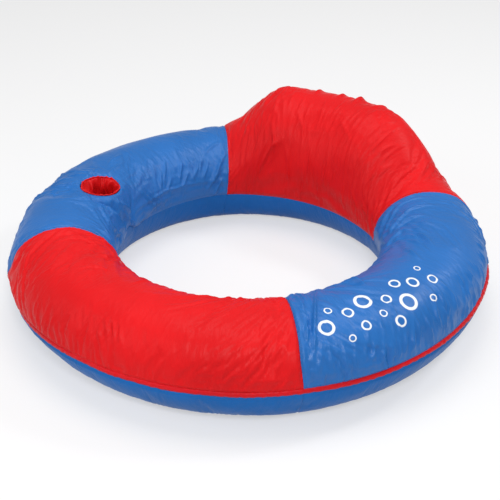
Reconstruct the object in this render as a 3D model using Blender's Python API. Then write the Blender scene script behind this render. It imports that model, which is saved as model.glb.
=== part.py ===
"""Round cloth-covered pool lounger with a raised back, in metres, +Z up.

The origin lies on the floor at the ring's centre, and the raised back is at +Y.
Angles are in degrees about +Z from +X. A section is a list of (radius, height) points
that runs from the rim seam over the crest, down the hole and under the ring to the rim again.
"""

import math

import bmesh
import bpy
from mathutils import Matrix, Vector
from mathutils.bvhtree import BVHTree

# Ring section
RIM_R = 0.5246
RIM_Z = 0.102
WALL_HEIGHT = 0.0295
CREST_INSET = 0.1111
CREST_Z = 0.212
HOLE_INSET = 0.2261
HOLE_Z = 0.121
INNER_SEAM_Z = 0.0885
FLOOR_INSET_IN = 0.1601
FLOOR_INSET_OUT = 0.0766
INNER_FULLNESS = 1.8
OUTER_FULLNESS = 1.9
ROUND = 2.0
OUTER_STEPS = 4
HOLE_STEPS = 5
SEAM_STEPS = 2
LOW_STEPS = 3
FLOOR_STEPS = 4

# Raised back
BACK_ANGLE = 90.0
BACK_RISE = 0.116
BACK_LEAN = 0.0225
BACK_BULGE = 0.0157
BACK_BULGE_Z = 0.0373
# The half width of the back and the spread of its shoulder, on the right and on the left
BACK_SPREADS = ((29.7, 15.0), (31.2, 11.8))

# Cloth and its seams
CLOTH = 0.0012
CLEAR = 0.0003
SEAMS = (-45.0, 43.0, 130.0, 225.0)
SEAM_GAP = 0.03
SEAM_STEP = 3.0
PANEL_STEP = 9.5
PUCKER = 0.0025
PUCKER_WIDTH = 2.5
PUCKER_FADE = 0.04

# Rim sleeve and spring hoop
SLEEVE_R = 0.006
SLEEVE_SIDES = 8
SLEEVE_JOIN_SEAM = SEAMS[2]
WIRE_R = 0.00175
WIRE_SIDES = 6

# Bladders
BLADDER_GAP = 0.0007
BLADDER_WALL = 0.001
LIFT = 0.0006
BACKREST_FROM = 57.0
BACKREST_TO = 123.0

# Drink pocket
POCKET_ANGLE = 193.5
POCKET_INWARD = 0.0465
POCKET_R = 0.045
POCKET_FLOOR_Z = 0.1
POCKET_SIDES = 28
BINDING_R = 0.003
BINDING_SIDES = 6

# Zip in the back panel's rear
ZIP_HALF_ANGLE = 16.5
ZIP_STEPS = 11
ZIP_RISE = 0.045
ZIP_SLOT = 0.009
TAPE_WIDTH = 0.021
TAPE = 0.0006
TAPE_OVERLAP = 0.008
CHAIN_GAP = 0.0012
CHAIN_WIDTH = 0.0026
CHAIN_HEIGHT = 0.0017
TOOTH_PITCH = 0.0052
TOOTH_LENGTH = 0.0026
TOOTH_FLANK = 0.0003
NOTCH_DEPTH = 0.0012
NOTCH_DROP = 0.0006
STOP_LENGTH = 0.0045
SLIDER_LENGTH = 0.011
SLIDER_WIDTH = 0.0088
SLIDER_PLATE = 0.0012
SLIDER_RIM = 0.0008
SLIDER_PLAY = 0.0001
SLIDER_WEB = 0.0006
CROWN_WIDTH = 0.0018
CROWN_POST = 0.0008
CROWN_LENGTH = 0.0076
CROWN_HEIGHT = 0.0032
PIN = 0.0012
PULL_PLAY = 0.0012
PULL_LENGTH = 0.028
PULL_WIDTH = 0.007
PULL_NECK = 0.0052

# Valves
VALVE_BORE_R = 0.0042
STEM_R = 0.0065
STEM_LENGTH = 0.0155
FLANGE_R = 0.0155
FLANGE = 0.0015
LIP_R = 0.0085
LIP = 0.003
PLUG_LENGTH = 0.0163
PLUG_CAP_R = 0.0095
PLUG_CAP = 0.0017
PLUG_CROWN = 0.0005
PLUG_CHAMFER = 0.001
STRAP_WIDTH = 0.005
STRAP = 0.001
TURNED_SIDES = 24

UPRIGHT, LEVEL = "upright", "level"
QUARTER = math.pi / 2

# Every radius follows the rim's.
CREST_R = RIM_R - CREST_INSET
HOLE_R = RIM_R - HOLE_INSET
FLOOR_R_IN = RIM_R - FLOOR_INSET_IN
FLOOR_R_OUT = RIM_R - FLOOR_INSET_OUT
WALL_TOP = RIM_Z + WALL_HEIGHT
POCKET_AT_R = CREST_R - POCKET_INWARD

# The sleeve stands clear of the bladder, and the cloth ends just above and below it.
SLEEVE_AT_R = RIM_R - CLOTH - BLADDER_GAP + CLEAR + SLEEVE_R
RIM_EDGE = math.sqrt(max(SLEEVE_R**2 - (SLEEVE_AT_R - RIM_R) ** 2, 0)) + CLEAR
BLADDER_DEPTH = CLOTH + BLADDER_GAP


def spaced(low, high, count):
    return [low + (high - low) * i / count for i in range(count + 1)]


def rise_at(angle):
    """How much of the back's rise an angle has, from 0 to 1."""
    turn = (angle - BACK_ANGLE + 180) % 360 - 180
    half, shoulder = BACK_SPREADS[turn > 0]
    t = min(max((half + shoulder - abs(turn)) / (2 * shoulder), 0), 1)
    return t * t * (3 - 2 * t)


def pucker_at(angle):
    """How far the cloth is drawn in by the nearest radial seam, from 0 to 1."""
    away = min(abs((angle - seam + 180) % 360 - 180) for seam in SEAMS)
    return math.exp(-((away / PUCKER_WIDTH) ** 2))


def quarter(start, end, first, fullness, t):
    """A point of the quarter curve that leaves its start upright or level."""
    c = max(math.cos(t), 0) ** (2 / fullness)
    s = math.sin(t) ** (2 / fullness)
    if first == UPRIGHT:
        return end[0] + (start[0] - end[0]) * c, start[1] + (end[1] - start[1]) * s
    return start[0] + (end[0] - start[0]) * s, end[1] + (start[1] - end[1]) * c


def wall_steps(with_zip):
    """Where the columns of the outer quarter lie, the zip's edges among them."""
    height = CREST_Z + BACK_RISE - WALL_TOP
    tape_low, slot_low, slot_high, tape_high = [
        (ZIP_RISE + side * width / 2) / height
        for side, width in ((-1, TAPE_WIDTH), (-1, ZIP_SLOT), (1, ZIP_SLOT), (1, TAPE_WIDTH))
    ]
    zip_columns = [tape_low, slot_low, slot_high] if with_zip else []
    return [0] + zip_columns + spaced(tape_high, QUARTER, OUTER_STEPS)[:-1]


def inset(points, depths):
    """Points moved square to the line, into the ring."""
    normals = []
    for (r0, z0), (r1, z1) in zip(points, points[1:]):
        length = math.hypot(r1 - r0, z1 - z0)
        normals.append(((z1 - z0) / length, (r0 - r1) / length))
    moved = []
    for i, (r, z) in enumerate(points):
        a = normals[max(i - 1, 0)]
        b = normals[min(i, len(normals) - 1)]
        scale = depths[i] / (1 + a[0] * b[0] + a[1] * b[1])
        moved.append((r - (a[0] + b[0]) * scale, z - (a[1] + b[1]) * scale))
    return moved


def section(angle, depth=0.0, with_zip=False, flat=False):
    """The cover's section at an angle, or a section that lies deeper by a depth."""
    rise = 0 if flat else rise_at(angle)
    crest = (CREST_R + BACK_LEAN * rise, CREST_Z + BACK_RISE * rise)
    hole = (HOLE_R - BACK_BULGE * rise, HOLE_Z + BACK_BULGE_Z * rise)
    rim_top, rim_low = (RIM_R, RIM_Z + RIM_EDGE), (RIM_R, RIM_Z - RIM_EDGE)
    wall_top, floor_in, floor_out = (RIM_R, WALL_TOP), (FLOOR_R_IN, 0), (FLOOR_R_OUT, 0)
    seam_t = math.asin(max(1 - INNER_SEAM_Z / hole[1], 0) ** (INNER_FULLNESS / 2))
    points = [rim_top]
    points += [quarter(wall_top, crest, UPRIGHT, ROUND, t) for t in wall_steps(with_zip)]
    points += [quarter(crest, hole, LEVEL, ROUND, t) for t in spaced(0, QUARTER, HOLE_STEPS)[:-1]]
    for t in spaced(0, seam_t, SEAM_STEPS) + spaced(seam_t, QUARTER, LOW_STEPS)[1:]:
        points.append(quarter(hole, floor_in, UPRIGHT, INNER_FULLNESS, t))
    for t in spaced(0, QUARTER, FLOOR_STEPS):
        points.append(quarter(floor_out, rim_low, LEVEL, OUTER_FULLNESS, t))
    walked = [0]
    for (r0, z0), (r1, z1) in zip(points, points[1:]):
        walked.append(walked[-1] + math.hypot(r1 - r0, z1 - z0))
    fades = [min(s, walked[-1] - s, PUCKER_FADE) / PUCKER_FADE for s in walked]
    points = inset(points, [PUCKER * pucker_at(angle) * fade for fade in fades])
    return inset(points, [depth] * len(points)) if depth else points


# Columns of a section with no zip, and those that the zip adds
COLUMNS = len(section(BACK_ANGLE))
SEAM_COLUMN = COLUMNS - (LOW_STEPS + FLOOR_STEPS + 2)
SLOT_COLUMN = 3
ZIP_COLUMNS = len(section(BACK_ANGLE, with_zip=True)) - COLUMNS


def place(angle, point):
    r, z = point
    turn = math.radians(angle)
    return Vector((r * math.cos(turn), r * math.sin(turn), z))


def quadrant_angles(index):
    """The stations of a panel from seam to seam, closer at its seams and along the zip."""
    start, end = SEAMS[index], SEAMS[(index + 1) % 4]
    end += 360 if end < start else 0
    first, last = start + SEAM_STEP, end - SEAM_STEP
    stops = [first, last]
    if start < BACK_ANGLE < end:
        stops[1:1] = [BACK_ANGLE - ZIP_HALF_ANGLE, BACK_ANGLE + ZIP_HALF_ANGLE]
    angles = [start + SEAM_GAP]
    for k, (low, high) in enumerate(zip(stops, stops[1:])):
        along_zip = len(stops) == 4 and k == 1
        step = PANEL_STEP if len(stops) == 2 else PANEL_STEP * 2 / 3
        count = ZIP_STEPS if along_zip else max(round((high - low) / step), 1)
        angles += spaced(low, high, count)[:-1]
    return angles + [last, end - SEAM_GAP]


def ring_angles():
    """Every panel's stations, with each seam's two made one."""
    angles = []
    for index in range(4):
        stations = quadrant_angles(index)
        angles += [stations[0] - SEAM_GAP] + stations[1:-1]
    return angles


def material(name, colour, roughness, metallic=0.0):
    made = bpy.data.materials.new(name)
    made.use_nodes = True
    shader = made.node_tree.nodes["Principled BSDF"]
    shader.inputs["Base Color"].default_value = (*colour, 1)
    shader.inputs["Roughness"].default_value = roughness
    shader.inputs["Metallic"].default_value = metallic
    made.diffuse_color = (*colour, 1)
    return made


def add(name, bm, finish, matrix=None, smooth=40):
    mesh = bpy.data.meshes.new(name)
    bm.to_mesh(mesh)
    bm.free()
    mesh.shade_smooth()
    mesh.set_sharp_from_angle(angle=math.radians(smooth))
    made = bpy.data.objects.new(name, mesh)
    bpy.context.scene.collection.objects.link(made)
    if finish:
        mesh.materials.append(finish)
    if matrix:
        made.matrix_world = matrix
    return made


def solidify(made, thickness):
    modifier = made.modifiers.new("thickness", "SOLIDIFY")
    modifier.thickness = thickness
    modifier.offset = -1
    modifier.use_even_offset = True


def combine(made, other, operation="DIFFERENCE"):
    """A Boolean with another object, which is then only a guide."""
    other.hide_render = True
    other.display_type = "WIRE"
    modifier = made.modifiers.new(other.name, "BOOLEAN")
    modifier.object = other
    modifier.operation = operation
    modifier.solver = "EXACT"


def skin(rows, wrap_rows=False, wrap_columns=False, skip=None):
    """A surface through rows of points, whose quads are all halved the same way."""
    bm = bmesh.new()
    grid = [[bm.verts.new(point) for point in row] for row in rows]
    row_count, column_count = len(grid), len(grid[0])
    for i in range(row_count if wrap_rows else row_count - 1):
        for j in range(column_count if wrap_columns else column_count - 1):
            if skip and skip(i, j):
                continue
            i1, j1 = (i + 1) % row_count, (j + 1) % column_count
            bm.faces.new((grid[i][j], grid[i1][j], grid[i1][j1]))
            bm.faces.new((grid[i][j], grid[i1][j1], grid[i][j1]))
    loose = [v for v in bm.verts if not v.link_faces]
    bmesh.ops.delete(bm, geom=loose, context="VERTS")
    return bm, grid


def bar(rows):
    """A closed bar through loops of points, with a flat end on the first and last."""
    bm, grid = skin(rows, wrap_columns=True)
    bm.faces.new(grid[0])
    bm.faces.new(reversed(grid[-1]))
    bmesh.ops.recalc_face_normals(bm, faces=bm.faces)
    return bm


def prism(outline, low, high):
    """An outline in XY, extruded from one height to another."""
    bm = bmesh.new()
    face = bm.faces.new([bm.verts.new((x, y, low)) for x, y in outline])
    made = bmesh.ops.extrude_face_region(bm, geom=[face])
    raised = [item for item in made["geom"] if isinstance(item, bmesh.types.BMVert)]
    bmesh.ops.translate(bm, verts=raised, vec=(0, 0, high - low))
    bmesh.ops.recalc_face_normals(bm, faces=bm.faces)
    return bm


def turned(profile, sides=TURNED_SIDES):
    """A closed profile of (radius, height) points, spun about Z."""
    bm = bmesh.new()
    verts = [bm.verts.new((r, 0, z)) for r, z in profile]
    edges = [bm.edges.new((verts[i - 1], verts[i])) for i in range(len(verts))]
    full, axis = 2 * math.pi, (0, 0, 1)
    bmesh.ops.spin(
        bm, geom=verts + edges, cent=(0, 0, 0), axis=axis, angle=full, steps=sides, use_merge=True
    )
    bmesh.ops.remove_doubles(bm, verts=bm.verts, dist=1e-6)
    bmesh.ops.recalc_face_normals(bm, faces=bm.faces)
    return bm


def drill(name, radius, low, high, matrix, sides=TURNED_SIDES):
    bm = bmesh.new()
    bmesh.ops.create_cone(
        bm, cap_ends=True, segments=sides, radius1=radius, radius2=radius, depth=high - low
    )
    bmesh.ops.translate(bm, verts=bm.verts, vec=(0, 0, (low + high) / 2))
    return add(name, bm, None, matrix)


def panel_rows(index, columns, with_zip):
    rows = []
    for angle in quadrant_angles(index):
        points = section(angle, with_zip=with_zip)
        rows.append([place(angle, points[j]) for j in columns])
    return rows


def cover_panels(cloths):
    """The four top panels and the four bottom panels, each a sheet of cloth."""
    panels = {}
    for index, side in enumerate(("right", "back", "left", "front")):
        is_back = side == "back"
        seam = SEAM_COLUMN + (ZIP_COLUMNS if is_back else 0)
        angles = quadrant_angles(index)
        zip_rows = [
            i
            for i, angle in enumerate(angles)
            if is_back and abs(angle - BACK_ANGLE) < ZIP_HALF_ANGLE + 1e-6
        ]

        def in_slot(i, j):
            return j == SLOT_COLUMN and i in zip_rows[:-1]

        rows = panel_rows(index, range(seam + 1), is_back)
        bm, _ = skin(rows, skip=in_slot)
        panels["top_" + side] = add("top_panel_" + side, bm, cloths[side])
        rows = panel_rows(index, range(SEAM_COLUMN, COLUMNS), False)
        for row, angle in zip(rows, angles):
            row[0] = place(angle, seam_edge(angle))
        bm, _ = skin(rows)
        panels["bottom_" + side] = add("bottom_panel_" + side, bm, cloths["bottom"])
    for panel in panels.values():
        solidify(panel, CLOTH)
    return panels


def seam_edge(angle):
    """The bottom panel's edge, just under the top panel's at the inner seam."""
    points = section(angle)
    (r0, z0), (r1, z1) = points[SEAM_COLUMN], points[SEAM_COLUMN + 1]
    share = CLEAR / math.hypot(r1 - r0, z1 - z0)
    return r0 + (r1 - r0) * share, z0 + (z1 - z0) * share


def circle(centre, radius, sides):
    turns = [2 * math.pi * i / sides for i in range(sides)]
    return [(centre[0] + radius * math.cos(t), centre[1] + radius * math.sin(t)) for t in turns]


def spring_sleeve(finish):
    """The cloth tube in the rim seam, whose ends meet at the join."""
    angles = ring_angles()
    turn = angles.index(SLEEVE_JOIN_SEAM)
    angles = angles[turn:] + [angle + 360 for angle in angles[:turn]] + [angles[turn] + 360]
    angles[0] += SEAM_GAP
    angles[-1] -= SEAM_GAP
    loop = circle((SLEEVE_AT_R, RIM_Z), SLEEVE_R, SLEEVE_SIDES)
    bm, _ = skin([[place(angle, point) for point in loop] for angle in angles], wrap_columns=True)
    sleeve = add("spring_sleeve", bm, finish)
    solidify(sleeve, CLOTH)


def spring_hoop(finish):
    """The steel hoop, which springs outwards on to the sleeve's outer side."""
    half = math.pi / SLEEVE_SIDES
    bore = (SLEEVE_R - CLOTH) * math.cos(half)
    offset = max((bore - WIRE_R - CLEAR) / math.cos(half), 0)
    loop = circle((SLEEVE_AT_R + offset, RIM_Z), WIRE_R, WIRE_SIDES)
    rows = [[place(angle, point) for point in loop] for angle in ring_angles()]
    bm, _ = skin(rows, wrap_rows=True, wrap_columns=True)
    add("spring_hoop", bm, finish)


def pocket_matrix():
    centre = place(POCKET_ANGLE, (POCKET_AT_R, 0))
    return Matrix.Translation(centre)


def pocket_edge(radius, tree):
    """Points on the top panel round the pocket's mouth."""
    centre = place(POCKET_ANGLE, (POCKET_AT_R, 0))
    edge = []
    for x, y in circle((centre.x, centre.y), radius, POCKET_SIDES):
        hit, _, _, _ = tree.ray_cast(Vector((x, y, 1)), Vector((0, 0, -1)))
        edge.append(hit)
    return edge


def cup_pocket(panels, cloth, binding):
    """The drink pocket: its wall, base and gathered binding, and the hole it hangs in."""
    index = 2
    rows = panel_rows(index, range(SEAM_COLUMN + 1), False)
    bm, _ = skin(rows)
    tree = BVHTree.FromBMesh(bm)
    bm.free()
    outer = POCKET_R + CLOTH
    mouth = pocket_edge(outer, tree)
    low = [Vector((p.x, p.y, POCKET_FLOOR_Z)) for p in mouth]
    bm, _ = skin([low, mouth], wrap_columns=True)
    bmesh.ops.reverse_faces(bm, faces=bm.faces)
    wall = add("cup_pocket", bm, cloth)
    solidify(wall, CLOTH)

    matrix = pocket_matrix()
    bm = bmesh.new()
    radius = POCKET_R - CLEAR
    bmesh.ops.create_cone(
        bm, cap_ends=True, segments=POCKET_SIDES, radius1=radius, radius2=radius, depth=CLOTH
    )
    lift = Matrix.Translation((0, 0, POCKET_FLOOR_Z + CLOTH / 2))
    add("cup_pocket_base", bm, cloth, matrix @ lift)

    loops = []
    centre = place(POCKET_ANGLE, (POCKET_AT_R, 0))
    for point in mouth:
        out = Vector((point.x - centre.x, point.y - centre.y, 0)).normalized()
        middle = point + Vector((0, 0, BINDING_R + CLEAR)) - out * BINDING_R
        loop = circle((0, 0), BINDING_R, BINDING_SIDES)
        loops.append([middle + out * a + Vector((0, 0, b)) for a, b in loop])
    bm, _ = skin(loops, wrap_rows=True, wrap_columns=True)
    bmesh.ops.recalc_face_normals(bm, faces=bm.faces)
    add("cup_pocket_binding", bm, binding)

    top = CREST_Z + BACK_RISE
    hole = drill("pocket_hole", outer + CLEAR, POCKET_FLOOR_Z, top, matrix, POCKET_SIDES)
    combine(panels["top_left"], hole)


def valve_frame(points, step):
    """The frame on a facet of the rear: X along the ring, Y up the section, Z out of the part."""
    (r0, z0), (r1, z1) = points
    length = math.hypot(r1 - r0, z1 - z0)
    up = ((r1 - r0) / length, (z1 - z0) / length)
    middle = ((r0 + r1) / 2 * math.cos(math.radians(step / 2)), (z0 + z1) / 2)
    return frame_at(BACK_ANGLE, middle, up)


def frame_at(angle, point, up):
    """The matrix at a section's point, with the section's upward direction as Y."""
    turn = math.radians(angle)
    along = Vector((-math.sin(turn), math.cos(turn), 0))
    rise = Vector((up[0] * math.cos(turn), up[0] * math.sin(turn), up[1]))
    out = along.cross(rise)
    matrix = Matrix((along, rise, out)).transposed().to_4x4()
    matrix.translation = place(angle, point)
    return matrix


def zip_frame(angle):
    """The zip's frame at an angle, on the middle of its slot."""
    points = section(BACK_ANGLE, with_zip=True)
    (r0, z0), (r1, z1) = points[SLOT_COLUMN], points[SLOT_COLUMN + 1]
    length = math.hypot(r1 - r0, z1 - z0)
    up = ((r1 - r0) / length, (z1 - z0) / length)
    return frame_at(angle, ((r0 + r1) / 2, (z0 + z1) / 2), up)


def degrees_along(length):
    """The angle that a length along the zip takes."""
    return math.degrees(length / zip_frame(0).translation.x)


def zip_bar(name, angles, outline, finish):
    rows = [[zip_frame(angle) @ Vector((0, y, z)) for y, z in outline] for angle in angles]
    add(name, bar(rows), finish)


def tooth_rows(first, last, offset):
    """Angles along a chain, each with whether the chain is at a tooth there."""
    pitch = degrees_along(TOOTH_PITCH)
    tooth, flank = degrees_along(TOOTH_LENGTH), degrees_along(TOOTH_FLANK)
    rows = [(first, False)]
    angle = first + flank + offset * pitch
    while angle + tooth + 2 * flank < last:
        rows += [(angle, False), (angle + flank, True)]
        rows += [(angle + flank + tooth, True), (angle + 2 * flank + tooth, False)]
        angle += pitch
    return rows + [(last, False)]


def zip_chain(name, side, first, last, low, finish):
    """A chain as one comb, whose teeth stand out towards the other chain and over its spine."""
    rows = []
    for angle, at_tooth in tooth_rows(first, last, offset=0.5 if side > 0 else 0):
        near = CHAIN_GAP / 2 + (0 if at_tooth else NOTCH_DEPTH)
        high = low + CHAIN_HEIGHT - (0 if at_tooth else NOTCH_DROP)
        loop = box_outline(side * near, side * (CHAIN_GAP / 2 + CHAIN_WIDTH), low, high)
        frame = zip_frame(angle)
        rows.append([frame @ Vector((0, y, z)) for y, z in loop])
    add(name, bar(rows), finish, smooth=25)


def box_outline(y0, y1, z0, z1):
    return [(y0, z0), (y1, z0), (y1, z1), (y0, z1)]


def zip_parts(tape_finish, chain_finish, slider_finish):
    """The arc zip: two tapes, two chains, the stops, the slider and its pull."""
    start, end = BACK_ANGLE - ZIP_HALF_ANGLE, BACK_ANGLE + ZIP_HALF_ANGLE
    stations = spaced(start, end, ZIP_STEPS)
    overlap = degrees_along(TAPE_OVERLAP)
    tape_angles = [start - overlap] + stations + [end + overlap]
    stop = degrees_along(STOP_LENGTH)
    tape_low = CLEAR
    tape_high = tape_low + TAPE
    chain_low = tape_high + CLEAR
    chain_high = chain_low + CHAIN_HEIGHT
    chain_out = CHAIN_GAP / 2 + CHAIN_WIDTH
    for side, name in ((1, "upper"), (-1, "lower")):
        near, far = side * CHAIN_GAP / 2, side * TAPE_WIDTH / 2
        outline = box_outline(near, far, tape_low, tape_high)
        zip_bar("zip_tape_" + name, tape_angles, outline, tape_finish)
        zip_chain("zip_chain_" + name, side, start + stop, end - stop, chain_low, chain_finish)

    length = STOP_LENGTH / 2 - CLEAR
    outline = box_outline(-length, length, -chain_out, chain_out)
    for name, at in (("start", start + stop / 2), ("end", end - stop / 2)):
        add("zip_stop_" + name, prism(outline, chain_low, chain_high), slider_finish, zip_frame(at))
    zip_slider(start + stop, chain_out, tape_low, tape_high, chain_high, slider_finish)


def zip_slider(first_angle, chain_out, tape_low, tape_high, chain_high, finish):
    """The slider wraps tapes and chains, with a thin web between the two rows."""
    axis = bpy.data.objects.new("zip_axis", None)
    bpy.context.scene.collection.objects.link(axis)
    rest = zip_frame(first_angle + degrees_along(SLIDER_LENGTH / 2 + CLEAR))
    half, web = SLIDER_WIDTH / 2, SLIDER_WEB / 2
    inner = chain_out + CLEAR
    lower = (ZIP_SLOT - SLIDER_RIM) / 2 - CLEAR
    under = chain_high + CLEAR
    over = under + SLIDER_PLATE
    flange = tape_high + CLEAR + SLIDER_PLAY
    low_top = tape_low - 2 * CLEAR
    low_under = low_top - SLIDER_RIM
    right = [(web, under), (inner, under), (inner, flange), (half, flange), (half, over)]
    outline = right + [(-y, z) for y, z in reversed(right)]
    outline += [(-web, low_top), (-lower, low_top), (-lower, low_under)]
    outline += [(lower, low_under), (lower, low_top), (web, low_top)]
    bm = prism(outline, -SLIDER_LENGTH / 2, SLIDER_LENGTH / 2)
    # The outline's X and Y are the frame's Y and Z, and its height runs along the zip.
    swap = Matrix(((0, 0, 1, 0), (1, 0, 0, 0), (0, 1, 0, 0), (0, 0, 0, 1)))
    bmesh.ops.transform(bm, matrix=swap, verts=bm.verts)
    slider = add("zip_slider", bm, finish, rest)
    slider.parent = axis

    reach, post = CROWN_LENGTH / 2, CROWN_POST
    top, root = over + CROWN_HEIGHT, over - SLIDER_PLATE / 2
    bridge = [
        (-reach, root), (post - reach, root), (post - reach, top - post), (reach - post, top - post),
        (reach - post, root), (reach, root), (reach, top - post), (reach - post, top),
        (post - reach, top), (-reach, top - post),
    ]
    bm = prism(bridge, -CROWN_WIDTH / 2, CROWN_WIDTH / 2)
    stand = Matrix(((1, 0, 0, 0), (0, 0, -1, 0), (0, 1, 0, 0), (0, 0, 0, 1)))
    bmesh.ops.transform(bm, matrix=stand, verts=bm.verts)
    crown = add("slider_crown", bm, finish, rest)
    combine(slider, crown, "UNION")

    hinge = Vector((0, 0, over + (CROWN_HEIGHT - post) / 2))
    neck, tab, bar_half = PULL_NECK / 2, PULL_WIDTH / 2, PIN / 2
    eye = CROWN_LENGTH / 2 + PULL_PLAY
    corner = tab / 2
    outline = [(bar_half, -neck), (bar_half, neck), (-eye - 2 * PIN, neck), (-eye - 3 * PIN, tab)]
    outline += [(corner - PULL_LENGTH, tab), (-PULL_LENGTH, tab - corner)]
    outline += [(x, -y) for x, y in reversed(outline[2:])]
    pull = add("zip_pull", prism(outline, -bar_half, bar_half), finish, rest @ Matrix.Translation(hinge))
    pull.parent = axis
    window = prism(box_outline(-eye, -bar_half, -neck + PIN, neck - PIN), -PIN, PIN)
    combine(pull, add("pull_window", window, None, rest @ Matrix.Translation(hinge)))


def valve(name, matrix, body_finish, plug_finish):
    """A welded valve, flush in the cloth's hole, and its push-in plug with a strap."""
    base = CLEAR - BLADDER_DEPTH
    seat = base + FLANGE
    profile = [
        (VALVE_BORE_R, base - STEM_LENGTH), (STEM_R, base - STEM_LENGTH), (STEM_R, base),
        (FLANGE_R, base), (FLANGE_R, seat), (LIP_R, seat), (LIP_R, seat + LIP),
        (VALVE_BORE_R, seat + LIP),
    ]
    add(name, turned(profile), body_finish, matrix)

    cap = seat + LIP + CLEAR
    shank = VALVE_BORE_R - CLEAR
    tip = cap - PLUG_LENGTH
    profile = [
        (0, tip), (shank - PLUG_CHAMFER, tip), (shank, tip + PLUG_CHAMFER), (shank, cap),
        (PLUG_CAP_R, cap), (PLUG_CAP_R, cap + PLUG_CAP - PLUG_CROWN),
        (PLUG_CAP_R - PLUG_CHAMFER, cap + PLUG_CAP), (0, cap + PLUG_CAP + PLUG_CROWN),
    ]
    plug = add(name + "_plug", turned(profile), plug_finish, matrix)
    start, bend, end = PLUG_CAP_R - STRAP / 2, PLUG_CAP_R + 2 * STRAP, FLANGE_R - CLEAR
    down = seat + CLEAR
    outline = [
        (start, cap), (bend, cap), (end - 2 * STRAP, down), (end, down), (end, down + STRAP),
        (end - STRAP, down + STRAP), (bend + STRAP, cap + STRAP), (start, cap + STRAP),
    ]
    strap = prism(outline, -STRAP_WIDTH / 2, STRAP_WIDTH / 2)
    stand = Matrix(((0, 0, 1, 0), (-1, 0, 0, 0), (0, 1, 0, 0), (0, 0, 0, 1)))
    bmesh.ops.transform(strap, matrix=stand, verts=strap.verts)
    bmesh.ops.recalc_face_normals(strap, faces=strap.faces)
    combine(plug, add(name + "_strap", strap, None, matrix), "UNION")


def ring_bladder(matrix, finish):
    """The hollow ring under the cover, with a well for the pocket and the valve's hole."""
    columns = list(range(0, SEAM_COLUMN - 2, 2)) + [SEAM_COLUMN - 2, SEAM_COLUMN]
    columns += list(range(SEAM_COLUMN + LOW_STEPS, COLUMNS))

    def body(name, depth, grow):
        rows = []
        for angle in ring_angles():
            points = section(angle, depth=depth, flat=True)
            rows.append([place(angle, points[j]) for j in columns])
        bm, _ = skin(rows, wrap_rows=True, wrap_columns=True)
        made = add(name, bm, finish)
        radius = POCKET_R + CLOTH + BLADDER_GAP + grow
        floor = POCKET_FLOOR_Z - BLADDER_GAP - grow
        well = drill(name + "_well", radius, floor, CREST_Z + BACK_RISE, pocket_matrix(), POCKET_SIDES)
        combine(made, well)
        return made

    bladder = body("ring_bladder", BLADDER_DEPTH, 0)
    hollow = body("ring_hollow", BLADDER_DEPTH + BLADDER_WALL, BLADDER_WALL)
    combine(bladder, hollow)
    hole = drill("ring_valve_hole", STEM_R + CLEAR, -2 * STEM_LENGTH, STEM_LENGTH, matrix)
    combine(bladder, hole)


def backrest_bladder(matrix, finish):
    """The hollow crescent between the ring bladder and the raised cover."""
    columns = range(SLOT_COLUMN, SEAM_COLUMN - SEAM_STEPS)
    angles = [a for a in quadrant_angles(1) if BACKREST_FROM - 1 < a < BACKREST_TO + 1]

    def body(name, wall, span):
        rows = []
        for angle in span:
            top = section(angle, depth=BLADDER_DEPTH + wall)
            low = section(angle, depth=BLADDER_DEPTH - LIFT - wall, flat=True)
            inner = columns[1:] if wall else columns
            loop = [top[j] for j in inner] + [low[j] for j in reversed(inner)]
            rows.append([place(angle, point) for point in loop])
        return add(name, bar(rows), finish)

    bladder = body("backrest_bladder", 0, angles)
    wall_angle = math.degrees(BLADDER_WALL / HOLE_R)
    within = [angles[0] + wall_angle] + angles[1:-1] + [angles[-1] - wall_angle]
    combine(bladder, body("backrest_hollow", BLADDER_WALL, within))
    hole = drill("backrest_valve_hole", STEM_R + CLEAR, -2 * STEM_LENGTH, STEM_LENGTH, matrix)
    combine(bladder, hole)


def main():
    for old in list(bpy.data.objects):
        bpy.data.objects.remove(old)
    red = material("red_cloth", (0.72, 0.02, 0.02), 0.42)
    blue = material("blue_cloth", (0.07, 0.17, 0.45), 0.42)
    deep_red = material("sleeve_cloth", (0.6, 0.015, 0.02), 0.5)
    vinyl = material("clear_vinyl", (0.75, 0.8, 0.84), 0.25)
    valve_vinyl = material("valve_vinyl", (0.82, 0.85, 0.88), 0.3)
    steel = material("spring_steel", (0.5, 0.5, 0.52), 0.35, 1.0)
    dark = material("zip_tape", (0.03, 0.06, 0.2), 0.8)
    plastic = material("zip_plastic", (0.02, 0.04, 0.14), 0.4)

    panels = cover_panels({"front": red, "back": red, "left": blue, "right": blue, "bottom": blue})
    cup_pocket(panels, red, deep_red)
    spring_sleeve(deep_red)
    spring_hoop(steel)

    zip_step = 2 * ZIP_HALF_ANGLE / ZIP_STEPS
    rear = section(BACK_ANGLE, with_zip=True)
    upper_facet = rear[SLOT_COLUMN + 2 : SLOT_COLUMN + 4]
    plain = section(BACK_ANGLE)
    lower_facet = [plain[COLUMNS - 3], plain[COLUMNS - 2]]
    backrest_frame = valve_frame(upper_facet, zip_step)
    ring_frame = valve_frame(lower_facet, zip_step)
    ring_bladder(ring_frame, vinyl)
    backrest_bladder(backrest_frame, vinyl)
    for side, frame in (("top_back", backrest_frame), ("bottom_back", ring_frame)):
        hole = drill(side + "_valve_hole", FLANGE_R + CLEAR, -4 * FLANGE, 4 * FLANGE, frame)
        combine(panels[side], hole)
    valve("ring_valve", ring_frame, valve_vinyl, valve_vinyl)
    valve("backrest_valve", backrest_frame, valve_vinyl, valve_vinyl)
    zip_parts(dark, plastic, plastic)


main()
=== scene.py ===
"""The pool lounger's looks: its sewn cloth cover, rim sleeve, drink pocket, zip, valves and studio.

Lengths are metres in the part's frame: the origin on the floor at the ring's centre, the raised
back at +Y. Angles are degrees about +Z from +X. The cover is one grid of points, with stations
round the ring and columns from the rim seam over the crest, down the hole and under the ring.
"""
import math

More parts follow.
